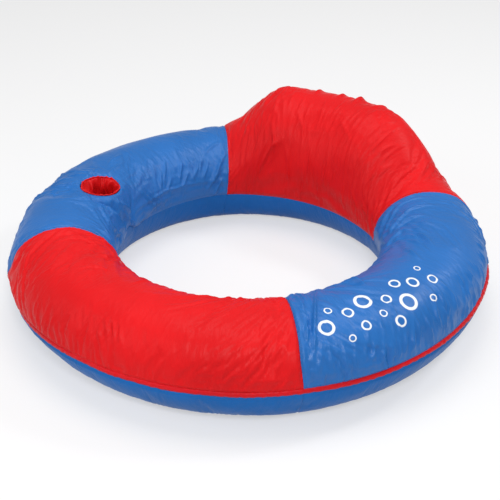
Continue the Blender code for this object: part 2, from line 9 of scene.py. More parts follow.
import bmesh
import bpy
import numpy as np
from bpy.props import FloatProperty, FloatVectorProperty, IntProperty, PointerProperty
from bpy.types import Operator, Panel, PropertyGroup
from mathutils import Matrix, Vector
from mathutils.bvhtree import BVHTree


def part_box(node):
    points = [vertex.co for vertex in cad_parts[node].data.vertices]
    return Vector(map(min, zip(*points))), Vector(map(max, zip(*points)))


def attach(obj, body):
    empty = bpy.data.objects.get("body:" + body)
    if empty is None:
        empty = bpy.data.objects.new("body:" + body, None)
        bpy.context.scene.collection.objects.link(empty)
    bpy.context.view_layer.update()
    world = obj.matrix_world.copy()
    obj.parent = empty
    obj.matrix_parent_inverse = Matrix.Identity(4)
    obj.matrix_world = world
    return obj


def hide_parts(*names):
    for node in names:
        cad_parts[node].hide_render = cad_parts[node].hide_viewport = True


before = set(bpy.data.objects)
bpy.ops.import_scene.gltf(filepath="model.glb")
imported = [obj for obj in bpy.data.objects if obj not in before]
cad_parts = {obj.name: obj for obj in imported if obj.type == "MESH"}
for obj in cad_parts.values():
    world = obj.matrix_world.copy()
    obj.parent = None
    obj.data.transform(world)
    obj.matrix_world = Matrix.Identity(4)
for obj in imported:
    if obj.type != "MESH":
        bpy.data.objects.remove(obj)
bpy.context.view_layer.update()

bl_info = {
    "name": "Pool Lounger",
    "version": (1, 0, 0),
    "blender": (4, 5, 0),
    "location": "3D View > Sidebar > Lounger",
    "description": "Sews, pads and lights a round pool lounger with a raised back",
    "category": "Object",
}

# The cover's section, as the part has it
RIM_R = 0.5246
RIM_Z = 0.102
RIM_EDGE = 0.0044
WALL_TOP = 0.1315
CREST_R = 0.4135
CREST_Z = 0.212
HOLE_R = 0.2985
HOLE_Z = 0.121
INNER_SEAM_Z = 0.0885
FLOOR_R_IN = 0.3645
FLOOR_R_OUT = 0.448
ROUND = 2.0
INNER_FULLNESS = 1.8
OUTER_FULLNESS = 1.9
BACK_ANGLE = 90.0
BACK_RISE = 0.116
BACK_LEAN = 0.0225
BACK_BULGE = 0.0157
BACK_BULGE_Z = 0.0373
# The half width and the shoulder of the back's rise, on its right and on its left
BACK_SPREADS = ((29.7, 15.0), (31.2, 11.8))
SEAMS = (-45.0, 43.0, 130.0, 225.0)
SIDES = ("right", "back", "left", "front")
# How far round each seam strays from straight, in degrees: at the rim's top side, just above it, at
# the crest, high on the hole's wall, at the inner seam, under the ring and at the rim's low side
SLANT_AT = (0.0, 0.08, 0.29, 0.43, 0.6, 0.8, 1.0)
SEAM_SLANTS = {
    -45.0: (-0.6, -1.0, -0.2, 0.9, 0.5, -0.6, -0.6),
    43.0: (0.0, 0.3, 1.3, 0.4, 0.0, 0.0, 0.0),
    130.0: (0.0, 0.2, 1.0, 2.0, 4.0, 2.0, 0.0),
    225.0: (0.0, 0.0, 0.0, 3.0, 4.0, 2.0, 0.0),
}
SLANT_SPREAD = 14.0
SLEEVE_AT_R = 0.529
SLEEVE_R = 0.0065
SLEEVE_DROP = 0.0012
POCKET_ANGLE = 193.5
POCKET_AT_R = 0.367
POCKET_R = 0.045
POCKET_FLOOR_Z = 0.1
ZIP_HALF_ANGLE = 16.5
ZIP_Z = 0.1765
ZIP_SLOT = 0.009

# How the cloth differs from the plain section: where the rim hangs, what that changes under the ring,
# where the rim stands out, the cloth's bulge past the rim, its fall to the pocket's mouth, the shares
# that the raised back and the lower half take off the wrinkles, and the most that the cloth moves
RIM_HANG = 0.018
RIM_HANG_ANGLE = 229.0
RIM_HANG_SPREAD = 24.0
HUNG_SPREAD = 0.006
HUNG_FULLNESS = 0.3
RIM_STAND = 0.0085
RIM_STAND_ANGLE = 27.0
RIM_STAND_SPREAD = 24.0
RIM_BULGE = 0.0095
HUNG_BULGE = 0.009
POCKET_LEVEL = 0.75
BACK_TAUT = 0.35
LOW_TAUT = 0.6
MOST_MOVED = 0.011
FLOOR_GAP = 0.0004
SEAM_HALF_GAP = 0.0002
WIRE_R = 0.00175
WIRE_OFFSET = 0.002
FLOOR_BOUNCE = 0.72
# Where the cloth lies calmer round the ring: the middle, the spread and the share taken off
CALMED = ((146, 16, 0.55), (28, 13, 0.5), (-12, 22, 0.35))
# The swell past the rim's seam: its tuck at the seam, its reach, the share that it loses where the
# rim stands out, and its place above the rim where that hangs
RIM_TUCK = 0.25
RIM_TUCK_REACH = 0.004
RIM_BULGE_REACH = 0.035
STAND_TAUT = 0.6
HUNG_BULGE_AT = 0.022
# Round the pocket's mouth: the level ring, the fall to it, the cloth that is held and the hole's play
POCKET_RING = 0.003
POCKET_FALL = 0.014
POCKET_HOLD = 0.002
POCKET_PLAY = 0.0015
# The zip's and the valves' reach in the cloth, and how near the cloth is held and lies calm
ZIP_END_ANGLE = 1.0
ZIP_HALF_HEIGHT = 0.011
SLOT_MARGIN = 0.002
VALVE_R = 0.019
VALVE_HOLE_R = 0.0158
HARDWARE_HOLD = 0.001
HARDWARE_CALM = 0.012
RIM_CALM = 0.004
MOUTH_CALM = 0.006
FLOOR_TOUCH = 0.0005
# The swell beside the inner seam and the dip at it, and what the seam takes off the creases
SEAM_SWELL = 0.0022
SEAM_SWELL_AT = 0.013
SEAM_SWELL_WIDTH = 0.009
SEAM_DIP = 0.0015
SEAM_DIP_WIDTH = 0.004
SEAM_CALM = 0.7
SEAM_CALM_WIDTH = 0.006
# The simulated wrinkles: the blur that tells them from the swell, in stations and columns, and the
# reach of the seams and of the lower half's tautness
BLUR = (8.0, 6.0)
WRINKLE_REACH = 0.014
SEAM_SHARE = 0.4
LOW_REACH = 0.02
# A crease's section: how sharp its ridge is, and the depth and width of the hollow round it
RIDGE_POWER = 1.5
HOLLOW = 0.45
HOLLOW_WIDTH = 2.1
# A panel's edge: what its flat size and its UVs allow for the seam, and how near the edge its next
# row lies, as a share of a step of the grid
SEAM_ALLOWANCE = 1.03
FLAT_TURN = 0.003
CLOSE_ROW = 0.25
# The bladders' distance from the cover and from the floor, their step down under the pocket and
# inside the backrest, and how far round the pocket the ring bladder is pushed down
BLADDER_GAP = 0.013
BLADDER_LIFT = 0.004
BLADDER_STEP = 0.01
POCKET_REACH = 0.02

# The grid of the cover
STATIONS = 1440
STRIDE = 2
TOP_COLUMNS = 96
LOW_COLUMNS = 44
SIMULATED_FRAMES = 12
QUARTER = math.pi / 2
CREST_COLUMN = TOP_COLUMNS // 2
# Stations beside a seam that no crease read off the photograph starts, bends or ends in
SEAM_MARGIN = 4


class LoungerColours(PropertyGroup):
    red: FloatVectorProperty(
        name="Red cloth", description="Front and back panels and the pocket", subtype="COLOR",
        default=(0.76, 0.0112, 0.0142),
    )
    blue: FloatVectorProperty(
        name="Blue cloth", description="Side panels and the cover's lower half", subtype="COLOR",
        default=(0.0165, 0.155, 0.50),
    )
    sleeve: FloatVectorProperty(
        name="Sleeve cloth", description="The spring sleeve in the rim seam", subtype="COLOR",
        default=(0.70, 0.008, 0.016),
    )
    bubbles: FloatVectorProperty(
        name="Printed bubbles", description="The bubbles printed on the right panel", subtype="COLOR",
        default=(0.88, 0.9, 0.92),
    )
    zip: FloatVectorProperty(
        name="Zip", description="The zip's tape, chain and slider", subtype="COLOR",
        default=(0.022, 0.06, 0.2),
    )
    vinyl: FloatVectorProperty(
        name="Vinyl", description="The bladders and the valves", subtype="COLOR",
        default=(0.78, 0.82, 0.85),
    )


class LoungerCloth(PropertyGroup):
    thickness: FloatProperty(
        name="Thickness", description="Thickness of the cover's cloth", unit="LENGTH",
        default=0.0009, precision=4,
    )
    excess: FloatProperty(
        name="Excess", description="Share by which the cloth is cut larger than the bladders need",
        subtype="FACTOR", min=0, max=0.1, default=0.045,
    )
    fullness: FloatProperty(
        name="Wrinkle height", description="Height of the wrinkles against the simulated ones",
        subtype="FACTOR", min=0, max=2, default=1.0,
    )
    crease: FloatProperty(
        name="Crease height", description="Height of the creases at seams and corners",
        unit="LENGTH", default=0.003, precision=4,
    )
    turn_in: FloatProperty(
        name="Turned edge", description="How deep a panel's edge turns in at a seam",
        unit="LENGTH", default=0.0035, precision=4,
    )


class LoungerStitches(PropertyGroup):
    pitch: FloatProperty(
        name="Pitch", description="Distance from stitch to stitch", unit="LENGTH",
        default=0.0042, precision=4,
    )
    length: FloatProperty(
        name="Length", description="Length of a stitch", unit="LENGTH", default=0.0031, precision=4
    )
    thread: FloatProperty(
        name="Thread radius", description="Radius of the sewing thread", unit="LENGTH",
        default=0.00035, precision=5,
    )
    inset: FloatProperty(
        name="Inset", description="Distance of a row of stitches from its seam", unit="LENGTH",
        default=0.004, precision=4,
    )


class LoungerPocket(PropertyGroup):
    pleats: IntProperty(
        name="Pleats", description="Number of pleats round the pocket's wall", default=11, min=3
    )
    pleat_depth: FloatProperty(
        name="Pleat depth", description="Depth of a pleat at half height", unit="LENGTH",
        default=0.015, precision=4,
    )
    hem: FloatProperty(
        name="Hem radius", description="Radius of the gathered hem round the mouth", unit="LENGTH",
        default=0.0015, precision=4,
    )


class LoungerStudio(PropertyGroup):
    key: FloatProperty(name="Key lamp", description="Power of the key lamp", unit="POWER", default=35)
    fill: FloatProperty(name="Fill lamp", description="Power of the fill lamp", unit="POWER", default=20)
    back: FloatProperty(name="Back lamp", description="Power of the back lamp", unit="POWER", default=20)
    top: FloatProperty(name="Top lamp", description="Power of the top lamp", unit="POWER", default=38)
    ambient: FloatProperty(
        name="Ambient", description="Strength of the light from all round", min=0, default=0.36
    )
    floor: FloatVectorProperty(
        name="Floor", description="Colour of the studio floor", subtype="COLOR",
        default=(0.92, 0.92, 0.93),
    )
    lift: FloatProperty(
        name="Floor lift", description="Light that the camera adds to the floor", min=0, default=0.52
    )


class Wire:
    """A number in a shader, which takes part in sums as a plain number does."""

    def __init__(self, finish, socket):
        self.finish = finish
        self.socket = socket

    def math(self, operation, *values):
        inputs = {i: value for i, value in enumerate((self, *values))}
        return self.finish.node("ShaderNodeMath", {"operation": operation}, inputs)

    def __add__(self, other):
        return self.math("ADD", other)

    def __sub__(self, other):
        return self.math("SUBTRACT", other)

    def __mul__(self, other):
        return self.math("MULTIPLY", other)

    def __rsub__(self, other):
        inputs = {0: other, 1: self}
        return self.finish.node("ShaderNodeMath", {"operation": "SUBTRACT"}, inputs)

    __radd__ = __add__
    __rmul__ = __mul__

    def sine(self):
        return self.math("SINE")

    def step(self, low, high):
        """0 below one value and 1 above another, with a soft change between them."""
        settings = {"interpolation_type": "SMOOTHSTEP"}
        inputs = {"Value": self, "From Min": low, "From Max": high}
        return self.finish.node("ShaderNodeMapRange", settings, inputs)


class Finish:
    """A material whose nodes are wired up by calls."""

    def __init__(self, name, **constants):
        self.material = bpy.data.materials.new(name)
        self.material.use_nodes = True
        self.tree = self.material.node_tree
        self.shader = self.tree.nodes["Principled BSDF"]
        for socket, value in constants.items():
            self.set(socket.replace("_", " "), value)

    def set(self, socket, value):
        self.feed(self.shader.inputs[socket], value)

    def feed(self, socket, value):
        if isinstance(value, Wire):
            self.tree.links.new(value.socket, socket)
        elif hasattr(value, "__len__") and len(value) == 3 and socket.type == "RGBA":
            socket.default_value = (*value, 1)
        else:
            socket.default_value = value

    def node(self, kind, settings=None, inputs=None, output=0):
        """An output, or several, of a new node with these settings and socket values or links."""
        made = self.tree.nodes.new(kind)
        for key, value in (settings or {}).items():
            setattr(made, key, value)
        for key, value in (inputs or {}).items():
            self.feed(made.inputs[key], value)
        if isinstance(output, tuple):
            return [Wire(self, made.outputs[number]) for number in output]
        return Wire(self, made.outputs[output])

    def split(self, vector):
        return self.node("ShaderNodeSeparateXYZ", None, {0: vector}, output=(0, 1, 2))

    def place(self):
        return self.node("ShaderNodeTexCoord", output=3)

    def sewn(self):
        """The cloth's own coordinates, in metres along and across the panel."""
        return self.node("ShaderNodeTexCoord", output=2)

    def stretched(self, place, scale):
        return self.node("ShaderNodeMapping", None, {"Vector": place, "Scale": scale})

    def noise(self, place, scale, detail=2.0, roughness=0.5, distortion=0.0):
        inputs = {
            "Vector": place, "Scale": scale, "Detail": detail, "Roughness": roughness,
            "Distortion": distortion,
        }
        return self.node("ShaderNodeTexNoise", None, inputs)

    def mixed(self, share, first, second):
        """A colour between two others."""
        made = self.tree.nodes.new("ShaderNodeMix")
        made.data_type = "RGBA"
        self.feed(made.inputs["Factor"], share)
        colours = [socket for socket in made.inputs if socket.type == "RGBA"]
        self.feed(colours[0], first)
        self.feed(colours[1], second)
        return Wire(self, next(socket for socket in made.outputs if socket.type == "RGBA"))

    def relief(self, height):
        """Bump from a height in metres."""
        inputs = {"Strength": 1.0, "Distance": 1.0, "Height": height}
        self.set("Normal", self.node("ShaderNodeBump", None, inputs))


def shade(colour, share):
    """A colour made darker or lighter."""
    return tuple(channel * share for channel in colour)


def weave(finish, sewn, pitch):
    """Threads over and under each other, from -1 to 1."""
    turns = 2 * math.pi / pitch
    along, across, _ = finish.split(sewn)
    return (along * turns).sine() * (across * turns).sine()


def cloth_finish(name, colour, shine=0.16, bubbles=(), print_colour=None):
    """Thin, slightly glossy nylon with fine threads, soft crinkles and faint uneven dye."""
    finish = Finish(name, Specular_IOR_Level=shine)
    sewn, place = finish.sewn(), finish.place()
    cloud = finish.noise(place, 7.0, 3.0)
    streak = finish.noise(finish.stretched(sewn, (140.0, 26.0, 1.0)), 1.0, 3.0, 0.55, 0.6)
    fleck = finish.noise(place, 900.0, 1.0)
    dyed = finish.mixed(cloud.step(0.3, 0.7), shade(colour, 0.93), shade(colour, 1.06))
    dyed = finish.mixed(fleck.step(0.35, 0.75) * 0.12, dyed, shade(colour, 1.3))
    gloss = 0.32 + 0.1 * cloud
    if bubbles:
        mask = None
        soft = 0.0004
        for centre, radius, rim in bubbles:
            settings = {"operation": "DISTANCE"}
            away = finish.node("ShaderNodeVectorMath", settings, {0: place, 1: centre}, output=1)
            ring = away.step(rim - soft, rim + soft) - away.step(radius - soft, radius + soft)
            mask = ring if mask is None else mask.math("MAXIMUM", ring)
        dyed = finish.mixed(mask, dyed, print_colour)
        gloss = gloss + 0.08 * mask
    finish.set("Base Color", dyed)
    finish.set("Roughness", gloss)
    fine = finish.noise(finish.stretched(sewn, (330.0, 70.0, 1.0)), 1.0, 2.0, 0.5, 0.8)
    finish.relief(0.0013 * streak + 0.0004 * fine + 0.000012 * weave(finish, sewn, 0.0009))
    return finish.material


def thread_finish(name, colour):
    """Matt thread with a fine twist."""
    finish = Finish(name, Roughness=0.6)
    twist = finish.noise(finish.place(), 2500.0, 1.0)
    finish.set("Base Color", finish.mixed(twist, shade(colour, 0.7), shade(colour, 1.2)))
    finish.relief(0.0001 * twist)
    return finish.material


def vinyl_finish(name, colour, roughness=0.22):
    """Soft, smooth plastic film."""
    finish = Finish(name, Specular_IOR_Level=0.55)
    haze = finish.noise(finish.place(), 30.0, 3.0)
    ripple = finish.noise(finish.place(), 220.0, 2.0)
    finish.set("Base Color", finish.mixed(haze, shade(colour, 0.93), shade(colour, 1.04)))
    finish.set("Roughness", roughness + 0.1 * haze)
    finish.relief(0.00015 * ripple)
    return finish.material


def steel_finish(name):
    """Drawn steel wire."""
    finish = Finish(name, Metallic=1.0)
    drawn = finish.noise(finish.stretched(finish.place(), (60.0, 60.0, 900.0)), 1.0, 2.0)
    finish.set("Base Color", finish.mixed(drawn, (0.44, 0.44, 0.46), (0.58, 0.58, 0.6)))
    finish.set("Roughness", 0.26 + 0.16 * drawn)
    finish.relief(0.00004 * drawn)
    return finish.material


def tape_finish(name, colour):
    """The zip's woven tape, with ribs across it."""
    finish = Finish(name, Sheen_Weight=0.2)
    x, _, z = finish.split(finish.place())
    woven = ((x * 7000.0).sine() * 0.5 + 0.5) * ((z * 7000.0).sine() * 0.5 + 0.5)
    finish.set("Base Color", finish.mixed(woven, shade(colour, 0.65), shade(colour, 1.35)))
    finish.set("Roughness", 0.72 + 0.15 * woven)
    finish.relief(0.00012 * woven)
    return finish.material


def moulded_finish(name, colour):
    """Moulded plastic with a fine satin grain."""
    finish = Finish(name)
    grain = finish.noise(finish.place(), 1800.0, 2.0)
    wear = finish.noise(finish.place(), 90.0, 3.0)
    finish.set("Base Color", finish.mixed(wear, shade(colour, 0.9), shade(colour, 1.25)))
    finish.set("Roughness", 0.3 + 0.18 * wear)
    finish.relief(0.00002 * grain)
    return finish.material


def floor_finish(name, colour, lift):
    """A pale floor, which the camera and reflections see a little lighter than its lamps make it."""
    finish = Finish(name, Specular_IOR_Level=0.2, Emission_Strength=1.0)
    camera, glossy, through = finish.node("ShaderNodeLightPath", output=(0, 3, 6))
    seen = camera.math("MAXIMUM", glossy).math("MAXIMUM", through)
    finish.set("Emission Color", finish.mixed(seen, (0, 0, 0), (lift, lift, lift)))
    grain = finish.noise(finish.place(), 2.0, 2.0)
    plain = finish.mixed(grain, shade(colour, 0.995 * FLOOR_BOUNCE), shade(colour, FLOOR_BOUNCE))
    finish.set("Base Color", finish.mixed(seen, plain, shade(colour, 1 - lift)))
    finish.set("Roughness", 0.8 + 0.1 * grain)
    return finish.material


def dress(node, finish):
    """Gives a CAD node a finish in all its slots."""
    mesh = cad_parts[node].data
    if not mesh.materials:
        mesh.materials.append(finish)
    for i in range(len(mesh.materials)):
        mesh.materials[i] = finish


def piece(name, mesh, finish, replaced=(), body="lounger"):
    """A new object that rides on a body, in place of CAD nodes."""
    made = bpy.data.objects.new(name, mesh)
    bpy.context.scene.collection.objects.link(made)
    mesh.materials.append(finish)
    mesh.shade_smooth()
    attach(made, body)
    if replaced:
        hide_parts(*replaced)
    return made


def thicken(made, thickness, offset=-1):
    """Gives a sheet its thickness."""
    wall = made.modifiers.new("thickness", "SOLIDIFY")
    wall.thickness = thickness
    wall.offset = offset
    bpy.ops.object.select_all(action="DESELECT")
    made.select_set(True)
    bpy.context.view_layer.objects.active = made
    bpy.ops.object.modifier_apply(modifier=wall.name)
    made.data.shade_smooth()


def turn_from(angle, middle):
    """How far round from a middle an angle lies, from -180 to 180 degrees."""
    return (angle - middle + 180) % 360 - 180


def bell(distance, width):
    """1 at no distance, falling softly to 0 over a width."""
    return np.exp(-((distance / width) ** 2))


def near_angle(angle, middle, spread):
    """1 at a place round the ring, falling softly to 0 on both sides."""
    return bell(turn_from(angle, middle), spread)


def rise_at(angle):
    """How much of the back's rise an angle has, from 0 to 1."""
    turn = turn_from(angle, BACK_ANGLE)
    half, shoulder = BACK_SPREADS[int(turn > 0)]
    t = min(max((half + shoulder - abs(turn)) / (2 * shoulder), 0), 1)
    return t * t * (3 - 2 * t)


def rim_shift(angle):
    """How far the sprung rim lies out of its round and above its level."""
    out = RIM_STAND * near_angle(angle, RIM_STAND_ANGLE, RIM_STAND_SPREAD)
    return out, -RIM_HANG * near_angle(angle, RIM_HANG_ANGLE, RIM_HANG_SPREAD)


def quarter(start, end, upright, fullness, low=0.0, high=QUARTER, count=48):
    """Points of the quarter curve that leaves its start upright or level."""
    t = np.linspace(low, high, count)
    c = np.clip(np.cos(t), 0, None) ** (2 / fullness)
    s = np.sin(t) ** (2 / fullness)
    if upright:
        r, z = end[0] + (start[0] - end[0]) * c, start[1] + (end[1] - start[1]) * s
    else:
        r, z = start[0] + (end[0] - start[0]) * s, end[1] + (start[1] - end[1]) * c
    return np.stack([r, z], 1)


def even(line, count):
    """A line's points, spaced evenly."""
    walked = np.concatenate([[0], np.cumsum(np.hypot(*np.diff(line, axis=0).T))])
    at = np.linspace(0, walked[-1], count)
    return np.stack([np.interp(at, walked, line[:, k]) for k in (0, 1)], 1)


def section(angle):
    """The cover's outline at an angle, from the rim seam's top edge round to its low edge."""
    rise = rise_at(angle)
    crest = (CREST_R + BACK_LEAN * rise, CREST_Z + BACK_RISE * rise)
    hole = (HOLE_R - BACK_BULGE * rise, HOLE_Z + BACK_BULGE_Z * rise)
    seam_t = math.asin(max(1 - INNER_SEAM_Z / hole[1], 0) ** (INNER_FULLNESS / 2))
    out, up = rim_shift(angle)
    rim_r, rim_z = RIM_R + out, RIM_Z + up
    tuck = up / RIM_HANG
    top = [
        np.array([(rim_r, rim_z + RIM_EDGE)]),
        quarter((rim_r, WALL_TOP), crest, True, ROUND),
        quarter(crest, hole, False, ROUND)[1:],
        quarter(hole, (FLOOR_R_IN, 0), True, INNER_FULLNESS, high=seam_t)[1:],
    ]
    low = [
        quarter(hole, (FLOOR_R_IN, 0), True, INNER_FULLNESS, low=seam_t),
        quarter(
            (FLOOR_R_OUT + HUNG_SPREAD * tuck, 0), (rim_r, rim_z - RIM_EDGE), False,
            OUTER_FULLNESS + HUNG_FULLNESS * tuck,
        ),
    ]
    top, low = even(np.concatenate(top), TOP_COLUMNS), even(np.concatenate(low), LOW_COLUMNS)
    return np.concatenate([top, low[1:]])


def smooth(field, stations, columns):
    """A field on the grid, blurred by a number of stations and columns."""
    for axis, width in ((0, stations), (1, columns)):
        reach = int(3 * width)
        weights = np.exp(-0.5 * (np.arange(-reach, reach + 1) / width) ** 2)
        weights /= weights.sum()
        field = sum(w * np.roll(field, k, axis) for k, w in zip(range(-reach, reach + 1), weights))
    return field


def between(field):
    """A field at every station, from its values at each second one."""
    after = np.roll(field, -1, 0)
    middle = (9 * (field + after) - np.roll(field, 1, 0) - np.roll(field, -2, 0)) / 16
    return np.stack([field, middle], 1).reshape(STATIONS, *field.shape[1:])


def normals_of(grid):
    """Outward directions at the grid's points."""
    along = np.roll(grid, -1, 0) - np.roll(grid, 1, 0)
    up = np.roll(grid, -1, 1) - np.roll(grid, 1, 1)
    out = np.cross(along, up)
    return out / np.linalg.norm(out, axis=2, keepdims=True)


def station_at(angle):
    """The number of the grid's station at an angle."""
    return int(round(angle % 360 * STATIONS / 360)) % STATIONS


def panel_stations(index):
    """The stations of a quarter of the ring, from seam to seam."""
    first, last = station_at(SEAMS[index]), station_at(SEAMS[(index + 1) % len(SEAMS)])
    last += STATIONS if last < first else 0
    return np.arange(first, last + 1) % STATIONS


def pocket_centre():
    """The foot of the pocket's axis."""
    turn = math.radians(POCKET_ANGLE)
    return Vector((POCKET_AT_R * math.cos(turn), POCKET_AT_R * math.sin(turn), 0))


def valve_middle(node):
    """The middle of a valve's box."""
    low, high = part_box(node)
    return (low + high) / 2


def grid_quads(count, columns, looped=False, tubular=False):
    """The faces of a grid of points, which may close on itself along its rows and its columns."""
    i, j = np.meshgrid(
        np.arange(count if looped else count - 1), np.arange(columns if tubular else columns - 1),
        indexing="ij",
    )
    after, beside = (i + 1) % count * columns, (j + 1) % columns
    i = i * columns
    return np.stack([i + j, after + j, after + beside, i + beside], -1)


def grid_mesh(name, rows, tubular=False):
    """A mesh through rows of points, the last of which joins the first."""
    quads = grid_quads(*rows.shape[:2], True, tubular)
    mesh = bpy.data.meshes.new(name)
    mesh.from_pydata(rows.reshape(-1, 3).tolist(), [], quads.reshape(-1, 4).tolist())
    return mesh


def surface(rows):
    """The faces through rows of points, for rays to hit."""
    quads = grid_quads(*rows.shape[:2])
    return BVHTree.FromPolygons(rows.reshape(-1, 3).tolist(), quads.reshape(-1, 4).tolist())


class PictureView:
    """Where the photograph's camera sees the points of the plain cover, in pixels."""

    def __init__(self, base):
        eye, back, right, up = (np.array(axis) for axis in view_frame())
        away = base - eye
        self.depth = -(away @ back)
        scale = FOCAL_PIXELS / self.depth
        self.x = CENTRE_PIXEL[0] + scale * (away @ right)
        self.y = CENTRE_PIXEL[1] - scale * (away @ up)
        self.hidden = (normals_of(base) * away).sum(2) >= -FACING
        self.hidden[:, TOP_COLUMNS:] = True

    def point(self, x, y, stations):
        """The station and column of the point nearest the camera at a place in the picture."""
        off = np.full(self.depth.shape, np.inf)
        off[stations] = np.hypot(self.x[stations] - x, self.y[stations] - y)
        off[self.hidden] = np.inf
        near = off < max(off.min() + NEXT_PIXELS, NEAR_PIXELS)
        return np.unravel_index(np.argmin(np.where(near, self.depth, np.inf)), near.shape)


class Cover:
    """The cover's grid, from its plain shape to its wrinkled one."""

    def __init__(self):
        self.angles = np.arange(STATIONS) * 360 / STATIONS
        outline = np.array([section(angle) for angle in self.angles])
        self.turned = self.slanted(outline)
        turn = np.radians(self.turned)
        for k in (0, 1):
            for column in range(outline.shape[1]):
                at, plain = self.turned[:, column], outline[:, column, k].copy()
                outline[:, column, k] = np.interp(at, self.angles, plain, period=360)
        self.radius, self.height = outline[..., 0], outline[..., 1]
        self.base = np.stack(
            [self.radius * np.cos(turn), self.radius * np.sin(turn), self.height], 2
        )
        self.base[..., 2] -= self.levelled()
        self.run = self.walked()
        bulge = self.bulge()
        self.base[..., 0] += bulge * np.cos(turn)
        self.base[..., 1] += bulge * np.sin(turn)
        self.run = self.walked()
        self.points = self.base

    def bulge(self):
        """How far the cloth swells out past the rim's seam, and over the rim where that hangs."""
        hung = near_angle(self.angles, RIM_HANG_ANGLE, RIM_HANG_SPREAD)[:, None]
        stood = near_angle(self.angles, RIM_STAND_ANGLE, RIM_STAND_SPREAD)[:, None]
        most = RIM_BULGE * (1 - STAND_TAUT * stood)
        bulge = most * (1 - RIM_TUCK * bell(self.rim(), RIM_TUCK_REACH))
        bulge *= bell(self.rim(), RIM_BULGE_REACH)
        over = (self.run < self.run[:, -1:] / 2) * hung
        return bulge + HUNG_BULGE * over * bell(self.run - HUNG_BULGE_AT, HUNG_BULGE_AT)

    def slanted(self, outline):
        """Each point's angle, moved so that the seams stray from straight."""
        steps = np.linalg.norm(np.diff(outline[0], axis=0), axis=1)
        share = np.concatenate([[0], np.cumsum(steps)]) / steps.sum()
        turned = np.repeat(self.angles[:, None], len(share), 1)
        for seam, slant in SEAM_SLANTS.items():
            near = near_angle(self.angles, seam, SLANT_SPREAD)
            turned += near[:, None] * np.interp(share, SLANT_AT, slant)
        return turned

    def walked(self):
        """Distance of each point from the rim, along its section."""
        steps = np.linalg.norm(np.diff(self.base, axis=1), axis=2)
        return np.concatenate([np.zeros((STATIONS, 1)), np.cumsum(steps, 1)], 1)

    def rim(self):
        """Distance of each point from the rim's seam, the shorter way."""
        return np.minimum(self.run, self.run[:, -1:] - self.run)

    def from_inner_seam(self):
        """Distance of each point from the inner seam, negative on the top."""
        return self.run - self.run[:, [TOP_COLUMNS - 1]]

    def levelled(self):
        """How far the cloth sinks towards the level of the pocket's mouth, which its cup pulls flat."""
        away = self.from_pocket()
        middle = self.height.ravel()[np.argmin(away)]
        near = bell(np.clip(away - POCKET_R - POCKET_RING, 0, None), POCKET_FALL)
        return POCKET_LEVEL * near * (self.height - middle)

    def away_from_seams(self):
        """Distance of each point from the nearest seam between two panels."""
        turns = [np.abs(turn_from(self.angles, seam)) for seam in SEAMS]
        return np.radians(np.min(turns, 0))[:, None] * self.radius

    def from_pocket(self):
        """Distance of each top point from the pocket's axis."""
        centre = pocket_centre()
        away = np.hypot(self.base[..., 0] - centre.x, self.base[..., 1] - centre.y)
        away[:, TOP_COLUMNS:] = 1
        return away

    def from_hardware(self):
        """Distance of each point from the zip and from the valves."""
        turn = np.abs(turn_from(self.angles, BACK_ANGLE))
        past = np.clip(turn - ZIP_HALF_ANGLE - ZIP_END_ANGLE, 0, None)
        beside = np.clip(np.abs(self.base[..., 2] - ZIP_Z) - ZIP_HALF_HEIGHT, 0, None)
        away = np.hypot(np.radians(past)[:, None] * self.radius, beside)
        away[:, CREST_COLUMN:] = 1
        for node in VALVE_PANELS:
            gap = np.linalg.norm(self.base - np.array(valve_middle(node)), axis=2) - VALVE_R
            away = np.minimum(away, np.clip(gap, 0, None))
        return away

    def pinned(self):
        """Points that the seams, the sleeve, the floor, the pocket and the zip hold."""
        held = np.zeros(self.base.shape[:2], bool)
        held[:, [0, -1, TOP_COLUMNS - 1]] = True
        held[[station_at(seam) for seam in SEAMS]] = True
        held |= self.height < FLOOR_TOUCH
        held |= self.from_pocket() < POCKET_R + POCKET_HOLD
        return held | (self.from_hardware() < HARDWARE_HOLD)

    def blown(self, excess):
        """The grid as loose cloth over blown bladders, by simulation."""
        coarse = self.base[::STRIDE]
        mesh = grid_mesh("blown_cover", coarse)
        made = bpy.data.objects.new("blown_cover", mesh)
        bpy.context.scene.collection.objects.link(made)
        group = made.vertex_groups.new(name="held")
        held = self.pinned()[::STRIDE]
        group.add(np.nonzero(held.ravel())[0].tolist(), 1.0, "REPLACE")
        modifier = made.modifiers.new("cloth", "CLOTH")
        cloth = modifier.settings
        cloth.quality = 4
        cloth.mass = 0.1
        cloth.tension_stiffness = cloth.compression_stiffness = 12
        cloth.shear_stiffness = 4
        cloth.bending_stiffness = 0.02
        cloth.air_damping = 2
        cloth.shrink_min = -excess
        cloth.use_pressure = True
        cloth.uniform_pressure_force = 4
        cloth.vertex_group_mass = "held"
        cloth.effector_weights.gravity = 0
        modifier.collision_settings.use_collision = False
        modifier.point_cache.frame_start = 1
        modifier.point_cache.frame_end = SIMULATED_FRAMES
        for number in range(1, SIMULATED_FRAMES + 1):
            bpy.context.scene.frame_set(number)
        seen = made.evaluated_get(bpy.context.evaluated_depsgraph_get()).data
        moved = np.zeros(len(seen.vertices) * 3)
        seen.vertices.foreach_get("co", moved)
        bpy.data.objects.remove(made)
        bpy.data.meshes.remove(mesh)
        bpy.context.scene.frame_set(1)
        if not np.isfinite(moved).all():
            raise RuntimeError("the cloth simulation didn't hold together")
        return moved.reshape(coarse.shape) - coarse

